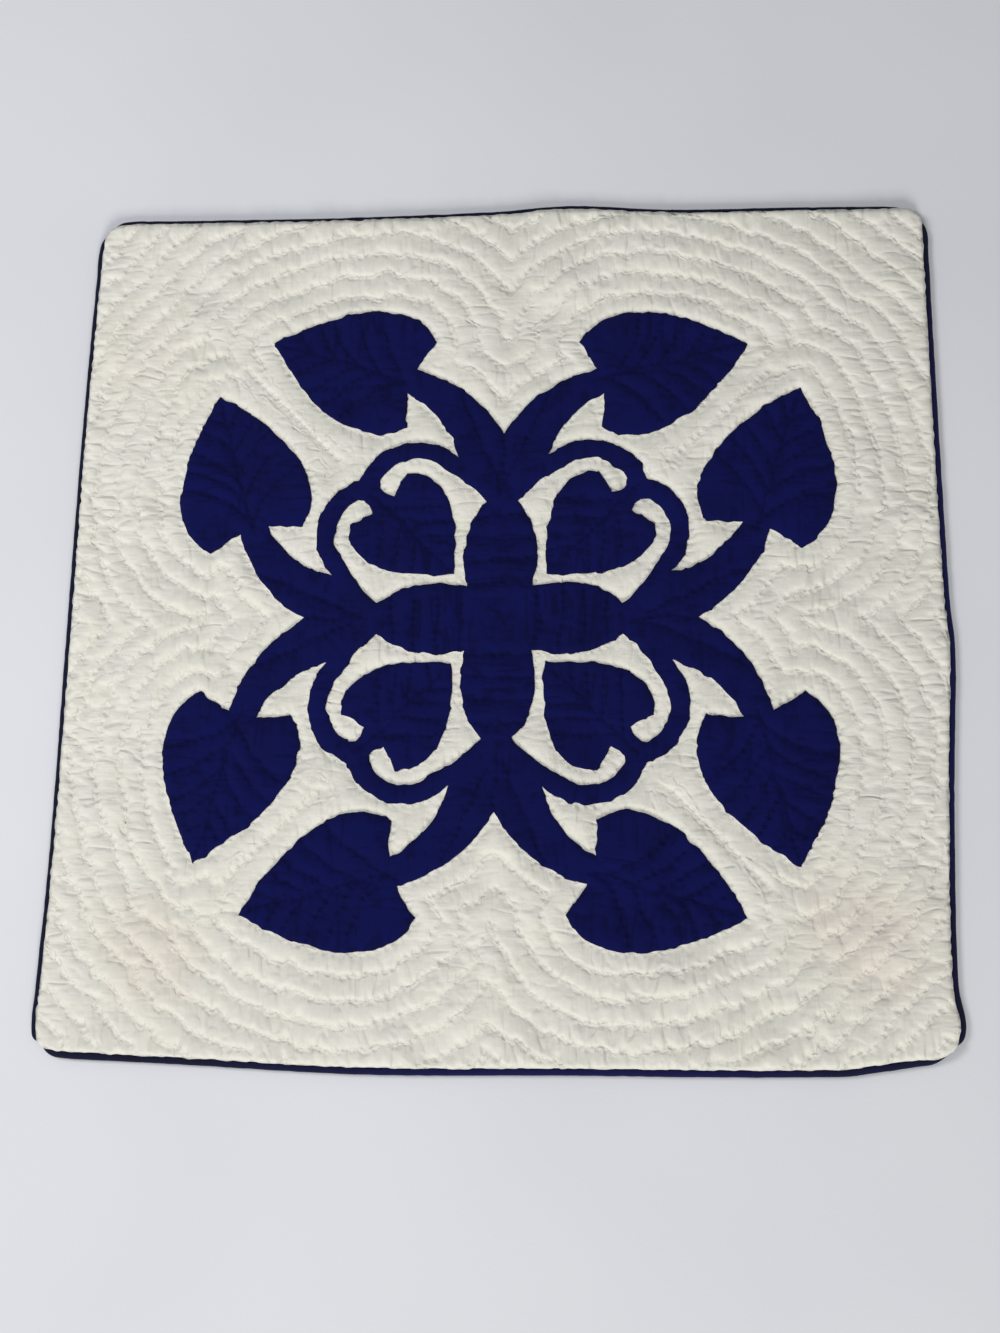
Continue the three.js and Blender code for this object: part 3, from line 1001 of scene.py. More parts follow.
    def relax(self) -> None:
        """Let the cloth find its puckers, pushed up by the wadding and held by its stitches."""
        threads = self.threads()
        free = np.where(self.stitched | (self.plan.depth <= 0), 0.0, 1.0)
        start = np.abs(self.random.normal(0.0, self.start, free.shape))
        self.places[..., 2] += start * free
        before = self.places.copy()
        for _ in range(self.rounds):
            speed = (self.places - before) * self.memory
            before = self.places.copy()
            self.places += speed * free[..., None]
            height = self.places[..., 2]
            height += self.push * (self.loft - height) * free
            for thread in threads:
                thread.pull(self.places, free)
            around = np.zeros_like(height)
            around[1:-1, 1:-1] = neighbours(height)
            height += self.softness * (around - height) * free
            np.maximum(height, -self.deepest, out=height, where=free > 0)


@dataclass
class QuiltSurface:
    """The relaxed cloth at its height in the cover, read anywhere over it.

    Attributes:
        cloth: The relaxed cloth.
        level: The height from which its relief is measured.
        edge_level: The height of its rolled edge.
        corner_drop: How much lower that edge lies at the corners.
        roll: How wide the roll is.
        relief: How much of the relief is kept.
        rucked: How much more of it is kept where the cover lies rucked.
        lumps: How far the wadding's lumps lift the cloth, and the distance between two.
        lean: How far the puffs lean over, as a multiple of their height.
        smoothed_to: The way they lean, which is the way the cover was last smoothed by hand.
        held: How far from the medallion's edge its sewing keeps the cloth from leaning.
    """

    cloth: QuiltedCloth
    level: float = 6.3 * MM
    edge_level: float = 5.35 * MM
    corner_drop: float = 1.8 * MM
    roll: float = 4.5 * MM
    relief: float = 0.5
    rucked: float = 0.4
    lumps: tuple[float, float] = (0.75 * MM, 17 * MM)
    lean: float = 2.0
    smoothed_to: tuple[float, float] = (-0.2, -0.98)
    held: float = 5 * MM

    def __post_init__(self) -> None:
        """Work out how far each grid point has moved from its flat place."""
        share = np.clip(self.cloth.plan.depth / self.roll, 0.0, 1.0)
        edge = self.edge_level - self.corner_drop * self.cloth.plan.drawing ** 3
        height, apart = self.lumps
        level = self.level + height * self.cloth.plan.motif.grid.unevenness(apart, Seed.LUMPS)
        base = edge + (level - edge) * np.sqrt(1 - (1 - share) ** 2)
        self.moved = self.cloth.places - self.cloth.flat
        raised = self.relief * (1 + self.rucked * self.cloth.plan.rucking) * self.cloth.places[..., 2]
        self.moved[..., 2] = base + raised
        free = smooth_step(share) * smooth_step(self.cloth.plan.motif.clear / self.held)
        leaning = self.lean * np.clip(raised, 0.0, None) * free
        self.moved[..., :2] += leaning[..., None] * np.array(self.smoothed_to)

    def at(self, points: np.ndarray) -> np.ndarray:
        """Where points of the flat plan lie on the puckered cloth."""
        moved = self.cloth.plan.motif.grid.sample(self.moved, points)
        return np.hstack([points, np.zeros((len(points), 1))]) + moved

    def nodes(self, kept: np.ndarray) -> np.ndarray:
        """The grid's own points where kept is true, on the puckered cloth."""
        return (self.cloth.flat + self.moved)[kept]


class RowMarks:
    """What the cloth's finish needs to know about each place on the cover.

    They are kept on a mesh's points as two vectors. The grain holds how much of the cloth's
    creasing runs up it, how much runs across it, and how many echo rows out the place lies. The
    sewing holds the run along the nearest row from one of its stitches, the gap to that row, and
    1 where the run is steady or 0 where it jumps to another row's.
    """

    def __init__(self, cloth: QuiltedCloth, step: float = 0.6 * MM, seam_reach: float = 16 * MM,
                 rounds: int = 8) -> None:
        """Sample the sewn rows, and work out which way the creases run.

        Args:
            cloth: The sewn cloth.
            step: From one sample of a row to the next.
            seam_reach: How far the outer seam turns the creases square to itself.
            rounds: How often their direction is evened out with its neighbours.
        """
        self.plan = cloth.plan
        grid = self.plan.motif.grid
        walks = [spaced(line, step, 0.0) for line in cloth.lines]
        walks = [walk for walk in walks if len(walk) > 2]
        self.places = np.vstack(walks)
        self.run = np.concatenate([np.arange(len(walk)) * step for walk in walks])
        heading = np.vstack([np.gradient(walk, axis=0) for walk in walks])
        self.heading = heading / np.linalg.norm(heading, axis=1)[:, None]
        self.tree = kdtree.KDTree(len(self.places))
        for i, (x, y) in enumerate(self.places.tolist()):
            self.tree.insert((x, y, 0.0), i)
        self.tree.balance()
        seam = np.exp(-np.clip(self.plan.depth, 0.0, None) / seam_reach)[..., None]
        facing = grid.slope(self.plan.motif.clear) ** 2 * (1 - seam) + grid.slope(self.plan.depth) ** 2 * seam
        for _ in range(rounds):
            facing[1:-1, 1:-1] = neighbours(facing)
        self.facing = facing

    def paint(self, piece: bpy.types.Object) -> None:
        """Keep the grain and the sewing on a piece's points.

        Args:
            piece: A piece of the front.
        """
        mesh = piece.data
        places = np.empty(3 * len(mesh.vertices))
        mesh.vertices.foreach_get("co", places)
        places = places.reshape(-1, 3)[:, :2]
        nearest = np.array([self.tree.find((x, y, 0.0))[1] for x, y in places.tolist()])
        away, heading = places - self.places[nearest], self.heading[nearest]
        run = self.run[nearest] + (away * heading).sum(1)
        gap = np.abs(away[:, 0] * heading[:, 1] - away[:, 1] * heading[:, 0])
        ends = np.empty(2 * len(mesh.edges), np.int32)
        mesh.edges.foreach_get("vertices", ends)
        one, other = ends.reshape(-1, 2).T
        length = np.linalg.norm(places[one] - places[other], axis=1)
        longest = 1.6 * length + 0.2 * MM
        torn = np.abs(run[one] - run[other]) > longest
        steady = np.ones(len(places))
        steady[one[torn]] = 0.0
        steady[other[torn]] = 0.0
        grid = self.plan.motif.grid
        facing, rows_out = grid.sample(self.facing, places), grid.sample(self.plan.rows_out, places)
        marks = {"grain": (facing[:, 1], facing[:, 0], rows_out), "sewing": (run, gap, steady)}
        for name, values in marks.items():
            kept = mesh.attributes.new(name, "FLOAT_VECTOR", "POINT")
            kept.data.foreach_set("vector", np.column_stack(values).astype(np.float32).ravel())


# ------------ meshes


class Draft:
    """A mesh while it is put together from blocks of points and faces."""

    def __init__(self) -> None:
        """Start with nothing."""
        self.blocks: list[np.ndarray] = []
        self.triangles: list[np.ndarray] = []
        self.count = 0

    def add(self, points: np.ndarray) -> np.ndarray:
        """Add points and give back their indices."""
        self.blocks.append(points)
        self.count += len(points)
        return np.arange(self.count - len(points), self.count)

    def face(self, corners: np.ndarray) -> None:
        """Add triangles, one row of three indices each."""
        self.triangles.append(np.asarray(corners).reshape(-1, 3))

    def band(self, low: np.ndarray, high: np.ndarray) -> None:
        """Join two closed loops of indices, the low one below, so that the faces point outwards."""
        low_next, high_next = np.roll(low, -1), np.roll(high, -1)
        self.face(np.stack([low, low_next, high_next], 1))
        self.face(np.stack([low, high_next, high], 1))

    def build(self, name: str, material: bpy.types.Material) -> bpy.types.Object:
        """Make the piece.

        Args:
            name: The piece's name.
            material: Its finish.

        Returns:
            The piece's object, at the origin.
        """
        mesh = bpy.data.meshes.new(name)
        points = np.vstack(self.blocks).astype(np.float32)
        corners = np.vstack(self.triangles).astype(np.int32)
        mesh.vertices.add(len(points))
        mesh.vertices.foreach_set("co", points.ravel())
        mesh.loops.add(corners.size)
        mesh.loops.foreach_set("vertex_index", corners.ravel())
        mesh.polygons.add(len(corners))
        mesh.polygons.foreach_set("loop_start", np.arange(0, corners.size, 3, dtype=np.int32))
        mesh.polygons.foreach_set("use_smooth", np.ones(len(corners), bool))
        mesh.update(calc_edges=True)
        mesh.materials.append(material)
        piece = bpy.data.objects.new(name, mesh)
        bpy.context.scene.collection.objects.link(piece)
        return piece


def settle(piece: bpy.types.Object, slot: str, *nodes: str) -> bpy.types.Object:
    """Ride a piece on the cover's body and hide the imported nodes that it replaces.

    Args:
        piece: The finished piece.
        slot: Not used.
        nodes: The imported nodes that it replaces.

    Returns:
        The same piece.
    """
    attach(piece, BODY)
    if nodes:
        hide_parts(*nodes)
    log.info("%s: %d faces", piece.name, len(piece.data.polygons))
    return piece


# ------------ finishes

Colour = tuple[float, float, float]


class Signal:
    """A shader value that takes part in Python expressions, each of which adds its Math nodes."""

    def __init__(self, shader: "Shader", socket: bpy.types.NodeSocket) -> None:
        """Wrap a node's output socket."""
        self.shader = shader
        self.socket = socket

    def math(self, operation: str, *others: "Signal | float") -> "Signal":
        """Add a Math node that starts with this value."""
        return self.shader.node("ShaderNodeMath", {"operation": operation}, dict(enumerate((self, *others))))

    def __add__(self, other: "Signal | float") -> "Signal":
        """This value plus another."""
        return self.math("ADD", other)

    def __mul__(self, other: "Signal | float") -> "Signal":
        """This value times another."""
        return self.math("MULTIPLY", other)

    def __sub__(self, other: "Signal | float") -> "Signal":
        """This value less another."""
        return self.math("SUBTRACT", other)

    def __rsub__(self, other: float) -> "Signal":
        """A number less this value."""
        return self.shader.node("ShaderNodeMath", {"operation": "SUBTRACT"}, {0: other, 1: self})

    def __truediv__(self, other: float) -> "Signal":
        """This value divided by a number."""
        return self.math("DIVIDE", other)

    __radd__ = __add__
    __rmul__ = __mul__

    def sine(self) -> "Signal":
        """The sine of this value in radians."""
        return self.math("SINE")

    def fading(self, reach: float) -> "Signal":
        """A bell that is 1 where this value is 0 and has faded away past the reach."""
        share = self / reach
        return (share * share * -1.0).math("EXPONENT")

    def ramp(self, low: float, high: float) -> "Signal":
        """Ease this value from 0 at low to 1 at high."""
        settings = {"interpolation_type": "SMOOTHSTEP"}
        inputs = {"Value": self, "From Min": low, "From Max": high}
        return self.shader.node("ShaderNodeMapRange", settings, inputs)


class Shader:
    """A material while its nodes are put together."""

    def __init__(self, name: str) -> None:
        """Start an empty material that reads Object coordinates."""
        self.material = bpy.data.materials.new(name)
        self.material.use_nodes = True
        self.tree = self.material.node_tree
        self.tree.nodes.clear()
        self.place = self.node("ShaderNodeTexCoord", {}, {}, "Object")

    def node(self, kind: str, settings: dict[str, object], inputs: dict[int | str, object],
             output: int | str = 0) -> Signal:
        """Add a node.

        Args:
            kind: The node's type.
            settings: Its properties, which are set before its sockets.
            inputs: A number, a colour or a Signal for each input socket.
            output: The output socket that is wanted.

        Returns:
            That output as a Signal.
        """
        made = self.tree.nodes.new(kind)
        for key, value in settings.items():
            setattr(made, key, value)
        for key, value in inputs.items():
            if isinstance(value, Signal):
                self.tree.links.new(value.socket, made.inputs[key])
            else:
                made.inputs[key].default_value = value
        return Signal(self, made.outputs[output])

    def axes(self) -> tuple[Signal, Signal]:
        """The x and y of the place that is shaded, in metres."""
        return tuple(self.node("ShaderNodeSeparateXYZ", {}, {0: self.place}, axis) for axis in "XY")

    def marks(self, name: str) -> tuple[Signal, Signal, Signal]:
        """The three parts of a vector that is kept on the mesh's points."""
        kept = self.node("ShaderNodeAttribute", {"attribute_name": name}, {}, "Vector")
        return tuple(self.node("ShaderNodeSeparateXYZ", {}, {0: kept}, axis) for axis in "XYZ")

    def streaks(self, short: Signal, long: Signal, sheet: Signal | float, detail: float = 1.0) -> Signal:
        """Noise from three values of its own.

        Args:
            short: A value that grows by 1 over a streak's width.
            long: A value that grows by 1 over its length.
            sheet: Picks one of many patterns.
            detail: How many finer layers it has.

        Returns:
            A value from 0 to 1.
        """
        place = self.node("ShaderNodeCombineXYZ", {}, {0: short, 1: long, 2: sheet})
        return self.node("ShaderNodeTexNoise", {}, {"Vector": place, "Scale": 1.0, "Detail": detail})

    def cloudy(self, size: float, detail: float = 2.0, shift: float = 0.0) -> Signal:
        """Soft noise.

        Args:
            size: The size of its clouds, in metres.
            detail: How many finer layers it has.
            shift: Moves the pattern, so that two of one size differ.

        Returns:
            A value from 0 to 1.
        """
        offset = (shift, shift, shift)
        moved = self.node("ShaderNodeVectorMath", {"operation": "ADD"}, {0: self.place, 1: offset})
        inputs = {"Vector": moved, "Scale": 1 / size, "Detail": detail, "Roughness": 0.55}
        return self.node("ShaderNodeTexNoise", {}, inputs)

    def patched(self, size: float) -> Signal:
        """One value from 0 to 1 over each of many small patches, with a step from one to the next."""
        inputs = {"Vector": self.place, "Scale": 1 / size}
        return self.node("ShaderNodeTexVoronoi", {"feature": "F1"}, inputs, "Color")

    def blend(self, share: Signal | float, one: object, other: object) -> Signal:
        """Mix two colours, from one at 0 to the other at 1."""
        colours = {0: share, 6: self.opaque(one), 7: self.opaque(other)}
        return self.node("ShaderNodeMix", {"data_type": "RGBA"}, colours, 2)

    @staticmethod
    def opaque(colour: object) -> object:
        """Give a plain colour its alpha, and leave a Signal as it is."""
        return colour if isinstance(colour, Signal) else (*colour, 1.0)

    def near(self, spot: Colour, radius: float, ragged: float) -> Signal:
        """A mask that is 1 at a spot and fades out unevenly round it.

        Args:
            spot: Its middle, in metres.
            radius: Where it has faded out.
            ragged: How uneven its outline is, as a share of the radius.

        Returns:
            The mask.
        """
        away = self.node("ShaderNodeVectorMath", {"operation": "DISTANCE"}, {0: self.place, 1: spot}, "Value")
        uneven = away / radius + (self.cloudy(radius / 3, 3.0) - 0.5) * ragged
        return 1 - uneven.ramp(0.25, 1.0)

    def finish(self, colour: Signal, height: Signal, constants: dict[str, float]) -> bpy.types.Material:
        """Close the material with its shader.

        Args:
            colour: What feeds Base Color.
            height: The relief, in metres, that turns the surface's normal.
            constants: Values of the shader's other sockets.

        Returns:
            The material.
        """
        bump = self.node("ShaderNodeBump", {}, {"Strength": 1.0, "Distance": 1.0, "Height": height}, "Normal")
        inputs = {"Base Color": colour, "Normal": bump, **constants}
        surface = self.node("ShaderNodeBsdfPrincipled", {}, inputs)
        self.node_out(surface)
        return self.material

    def node_out(self, surface: Signal) -> None:
        """Join a shader to the material's output."""
        made = self.tree.nodes.new("ShaderNodeOutputMaterial")
        self.tree.links.new(surface.socket, made.inputs["Surface"])


def darker(colour: Colour, share: float) -> Colour:
    """A colour with only a share of its light left."""
    return tuple(share * part for part in colour)


@dataclass(frozen=True)
class Stain:
    """A faint old mark on the cloth.

    Attributes:
        spot: Its middle, in metres.
        radius: Where it has faded out.
        colour: Its colour.
        strength: How much of that colour its middle takes.
        ragged: How uneven its outline is, as a share of the radius.
    """

    spot: Colour
    radius: float
    colour: Colour
    strength: float
    ragged: float = 1.1


@dataclass(frozen=True)
class Puckers:
    """The fine relief of hand-quilted cloth, which its mesh is too coarse to hold, and the shade painted into
    its creases.

    Its creases follow the threads: up the cloth where the rows of stitches run across it, and
    across it where they run up. Each band between two rows has creases of its own.

    Attributes:
        fine: The width and length of its fine creases, and how high they stand.
        sharp: The width and length of its few sharp creases, and how deep they are.
        sharp_width: How wide a sharp crease is, as a share of the distance between two.
        sharp_patch: The size of the patches that have sharp creases, and where in the noise they
            start and are full.
        pit: How far each stitch pulls the cloth in.
        pit_patch: The size of the patches where it does so more, and the same of their noise.
        groove: How deep the row's own groove is.
        groove_reach: How far it reaches to the side, as a share of the reach.
        fold: How deep the ragged fold along an echo row is.
        fold_reach: How far the fold reaches to the side, and how far it strays from the row.
        fold_step: How far it runs between two sudden steps.
        fray: The size of the finer waves in the fold, and their share of its straying.
        band_width: From one echo row to the next.
        reach: How far the pit and the groove reach to the side.
        pitch: From one stitch to the next.
        banded: Whether the creases change from band to band.
        shade: How much darker painted shade makes the bottom of a crease or groove.
    """

    fine: tuple[float, float, float] = (1.9 * MM, 11 * MM, 0.36 * MM)
    sharp: tuple[float, float, float] = (8.5 * MM, 26 * MM, 0.62 * MM)
    sharp_width: float = 0.12
    sharp_patch: tuple[float, float, float] = (11 * MM, 0.34, 0.54)
    pit: float = 0.35 * MM
    pit_patch: tuple[float, float, float] = (5 * MM, 0.36, 0.62)
    groove: float = 0.0
    groove_reach: float = 0.55
    fold: float = 0.28 * MM
    fold_reach: tuple[float, float] = (1.5 * MM, 3.4 * MM)
    fold_step: float = 5 * MM
    fray: tuple[float, float] = (2.6 * MM, 0.7)
    band_width: float = 12.1 * MM
    reach: float = 1.5 * MM
    pitch: float = STITCH_PITCH
    banded: bool = True
    # painted shade at the bottom of creases and grooves, as a share towards black
    shade: float = 0.02

    def over(self, shader: Shader) -> tuple[Signal, Signal]:
        """Work the relief out for a cloth that carries its rows' marks.

        Args:
            shader: The cloth's material.

        Returns:
            The height in metres, and a mask of its creases and grooves for the shade painted into the colour.
        """
        x, y = shader.axes()
        up, across, band = shader.marks("grain")
        run, gap, steady = shader.marks("sewing")
        sheet, within, fold = 0.0, 1.0, 0.0
        if self.banded:
            sheet = band.math("FLOOR") * 3.7
            share = band.math("FRACT")
            within = (share * (1 - share) * 4.0).ramp(0.0, 0.5)
            reach, stray = self.fold_reach
            off_row = (share - share.math("GREATER_THAN", 0.5)) * self.band_width
            steps = shader.patched(self.fold_step) - 0.5
            size, waves = self.fray
            ragged = (steps + (shader.cloudy(size, shift=0.9) - 0.5) * waves) * stray
            fold = self.cusp(off_row + ragged, reach) * band.ramp(0.4, 0.6)
        width, length, height = self.fine
        rising = shader.streaks(x / width, y / length, sheet)
        lying = shader.streaks(y / width, x / length, sheet)
        fine = ((rising - 0.5) * up + (lying - 0.5) * across) * within * height
        width, length, depth = self.sharp
        size, none, full = self.sharp_patch
        strong = shader.cloudy(size, detail=1.0, shift=0.2).ramp(none, full)
        creases = [shader.streaks(one / width, other / length, sheet) for one, other in ((x, y), (y, x))]
        valleys = [self.cusp(crease - 0.5, self.sharp_width) for crease in creases]
        valley = (valleys[0] * up + valleys[1] * across) * strong * within
        at_row = gap.fading(self.reach)
        size, none, full = self.pit_patch
        uneven = shader.cloudy(size, shift=0.5).ramp(none, full)
        swell = (run * (2 * math.pi / self.pitch)).math("COSINE") * at_row * steady * uneven
        groove = gap.fading(self.groove_reach * self.reach) * (uneven * 0.6 + 0.4)
        height = fine - valley * depth - swell * self.pit - groove * self.groove - fold * self.fold
        # the second value masks where shade is painted into the cloth's colour
        return height, (valley * valley * valley + groove).math("MINIMUM", 1.0)

    @staticmethod
    def cusp(away: Signal, reach: float) -> Signal:
        """A sharp valley: 1 where a value is 0, falling straight to 0 at the reach on either side."""
        return (1 - away.math("ABSOLUTE") / reach).math("MAXIMUM", 0.0)


@dataclass(frozen=True)
class Cotton:
    """A woven cotton cloth.

    Attributes:
        name: The material's name.
        colour: Its colour.
        aged: What the colour drifts to in patches.
        patch: The size of the patches.
        patched: Where in the noise they start and are full.
        weave: From one thread of the weave to the next.
        weave_height: How high the threads stand.
        weave_shade: How much painted shade darkens the gaps between them.
        slubs: The size of the threads' thicker places, and their height in threads.
        crease_size: The size of its fine creases.
        crease_height: How high they stand.
        roughness: How rough it is.
        sheen: The weight of its soft sheen.
        specular: How strongly it mirrors.
        stains: Its marks.
        puckers: Its quilted relief, with shade painted into its creases, where it carries its rows' marks.
    """

    name: str
    colour: Colour
    aged: Colour
    patch: float = 60 * MM
    patched: tuple[float, float] = (0.3, 0.72)
    weave: float = 0.42 * MM
    weave_height: float = 0.02 * MM
    weave_shade: float = 0.35
    slubs: tuple[float, float] = (1.1 * MM, 1.5)
    crease_size: float = 3.2 * MM
    crease_height: float = 0.5 * MM
    roughness: float = 0.92
    sheen: float = 0.12
    specular: float = 0.2
    stains: tuple[Stain, ...] = ()
    puckers: Puckers | None = None

    def material(self) -> bpy.types.Material:
        """Build the cloth's material: patches of colour, stains, weave and fine creases, with shade painted
        into the weave's gaps and the creases.
        """
        shader = Shader(self.name)
        x, y = shader.axes()
        turn = 2 * math.pi / self.weave
        threads = (x * turn).sine() * (y * turn).sine()
        size, thickness = self.slubs
        slubs = shader.cloudy(size, detail=3.0, shift=0.3)
        creases = shader.cloudy(self.crease_size, shift=0.7)
        height = (
            threads * self.weave_height
            + slubs * (thickness * self.weave_height)
            + creases * self.crease_height
        )
        patches = shader.cloudy(self.patch, detail=3.0).ramp(*self.patched)
        colour = shader.blend(patches, self.colour, self.aged)
        # painted shade: the gaps between the threads are darkened
        painted_gap_shade = (0.5 - threads * 0.5) * self.weave_shade
        colour = shader.blend(painted_gap_shade, colour, darker(self.colour, 0.9))
        if self.puckers:
            relief, crease_shade_mask = self.puckers.over(shader)
            height = height + relief
            # painted shade: the creases and grooves are darkened towards black
            colour = shader.blend(crease_shade_mask * self.puckers.shade, colour, (0.0, 0.0, 0.0))
        for stain in self.stains:
            mask = shader.near(stain.spot, stain.radius, stain.ragged) * stain.strength
            colour = shader.blend(mask, colour, stain.colour)
        constants = {
            "Roughness": self.roughness,
            "Specular IOR Level": self.specular,
            "Sheen Weight": self.sheen,
            "Sheen Roughness": 0.5,
        }
        return shader.finish(colour, height, constants)


@dataclass(frozen=True)
class SpunThread:
    """A cotton thread, with the slant of its plies.

    Attributes:
        name: The material's name.
        colour: Its colour.
        ply: From one ply to the next.
        ply_height: How high a ply stands.
        ply_shade: How much painted shade darkens the gaps between them.
        fuzz: The size of its fuzz, and how high it stands.
        roughness: How rough it is.
        specular: How strongly it mirrors.
    """

    name: str
    colour: Colour
    ply: float = 0.35 * MM
    ply_height: float = 0.02 * MM
    ply_shade: float = 0.3
    fuzz: tuple[float, float] = (0.4 * MM, 0.03 * MM)
    roughness: float = 0.8
    specular: float = 0.3

    def material(self) -> bpy.types.Material:
        """Build the thread's material: slanting plies with painted shade between them, and a little fuzz."""
        shader = Shader(self.name)
        x, y = shader.axes()
        plies = ((x + y) * (2 * math.pi / self.ply)).sine()
        size, stand = self.fuzz
        fuzz = shader.cloudy(size)
        # painted shade: the gaps between the plies are darkened
        painted_gap_shade = (0.5 - plies * 0.5) * self.ply_shade
        colour = shader.blend(painted_gap_shade, self.colour, darker(self.colour, 0.8))
        height = plies * self.ply_height + fuzz * stand
        constants = {"Roughness": self.roughness, "Specular IOR Level": self.specular}
        return shader.finish(colour, height, constants)


@dataclass(frozen=True)
class StudioPaper:
    """The plain pale paper of the floor.

    Attributes:
        name: The material's name.
        colour: Its colour.
        shade: What the colour drifts to in patches.
        patch: The size of the patches.
        tooth: The size of the paper's tooth, and how high it stands.
        roughness: How rough it is.
        specular: How strongly it mirrors.
    """

    name: str = "studio_paper"
    colour: Colour = (0.66, 0.67, 0.70)
    shade: Colour = (0.63, 0.64, 0.675)
    patch: float = 250 * MM
    tooth: tuple[float, float] = (2 * MM, 0.05 * MM)
    roughness: float = 0.85
    specular: float = 0.2

    def material(self) -> bpy.types.Material:
        """Build the paper's material: even, with a faint tooth."""
        shader = Shader(self.name)
        colour = shader.blend(shader.cloudy(self.patch).ramp(0.3, 0.7), self.colour, self.shade)
        size, stand = self.tooth
        height = shader.cloudy(size, detail=3.0) * stand
        constants = {"Roughness": self.roughness, "Specular IOR Level": self.specular}
        return shader.finish(colour, height, constants)


PINK_STAIN: Colour = (0.66, 0.57, 0.50)
PIPING_NAVY: Colour = (0.0065, 0.0065, 0.052)
CREAM_COTTON = Cotton(
    "cream_quilted_cotton",
    colour=(0.70, 0.68, 0.613),
    aged=(0.672, 0.657, 0.578),
    patch=18 * MM,
    crease_height=0.2 * MM,
    puckers=Puckers(),
    stains=(
        Stain((180 * MM, -165 * MM, 6 * MM), 52 * MM, PINK_STAIN, 0.42),
        Stain((-168 * MM, -176 * MM, 6 * MM), 46 * MM, PINK_STAIN, 0.35),
        Stain((-196 * MM, 150 * MM, 6 * MM), 50 * MM, PINK_STAIN, 0.2),
    ),
)
NAVY_COTTON = Cotton(
    "navy_cotton",
    colour=(0.0032, 0.0047, 0.064),
    aged=(0.0030, 0.0042, 0.053),
    patch=30 * MM,
    crease_height=0.2 * MM,
    puckers=Puckers(
        fine=(2.6 * MM, 6 * MM, 0.5 * MM),
        sharp=(7 * MM, 40 * MM, 0.2 * MM),
        sharp_width=0.16,
        groove=0.18 * MM,
        reach=1.7 * MM,
        banded=False,
        # painted shade: the navy's creases and vein grooves are darkened
        shade=0.4,
    ),
    sheen=0.02,
    specular=0.08,
)
PIPING_COTTON = Cotton(
    "navy_piping_cotton",
    colour=(0.0065, 0.0075, 0.021),
    aged=(0.006, 0.0075, 0.028),
    patch=24 * MM,
    crease_height=0.3 * MM,
    sheen=0.03,
    specular=0.1,
    stains=(
        Stain((226 * MM, -20 * MM, 3 * MM), 240 * MM, PIPING_NAVY, 0.9),
        Stain((40 * MM, -232 * MM, 3 * MM), 190 * MM, PIPING_NAVY, 0.9),
    ),
)
BACK_COTTON = Cotton(
    "cream_backing_cotton",
    colour=(0.77, 0.74, 0.66),
    aged=(0.74, 0.72, 0.65),
    weave=0.5 * MM,
)
CREAM_THREAD = SpunThread("cream_thread", (0.82, 0.80, 0.74))
NAVY_THREAD = SpunThread("navy_thread", (0.0034, 0.0044, 0.052), specular=0.06)


# ------------ the pieces


@dataclass(frozen=True)
class ThinSheet:
    """A sheet of cloth with soft edges, laid over a surface.

    Attributes:
        loops: Its cut outline and any openings, in plan.
        inner: Points well inside them, in plan.
        lifts: How high the top, the edge and the underside lie over the surface.
        insets: How far in from the edge the top and the underside start.
    """

    loops: Sequence[np.ndarray]
    inner: np.ndarray
    lifts: tuple[float, float, float]
    insets: tuple[float, float]

    def draft(self, place: Callable[[np.ndarray], np.ndarray]) -> Draft:
        """Put the sheet's closed mesh together.

        Args:
            place: Gives the place on the surface of points in plan.

        Returns:
            The mesh's draft.
        """
        made = Draft()
        upper, lower = ([loop - inset * outward(loop) for loop in self.loops] for inset in self.insets)
        triangles = filled(upper, self.inner)
        lifts = [np.array((0.0, 0.0, lift)) for lift in self.lifts]
        top = made.add(place(np.vstack([*upper, self.inner])) + lifts[0])
        edge = made.add(place(np.vstack(self.loops)) + lifts[1])
        under = made.add(place(np.vstack([*lower, self.inner])) + lifts[2])
        made.face(top[triangles])
        made.face(under[triangles[:, ::-1]])
        start = 0
        for loop in self.loops:
            part = slice(start, start + len(loop))
            made.band(under[part], edge[part])
            made.band(edge[part], top[part])
            start += len(loop)
        return made


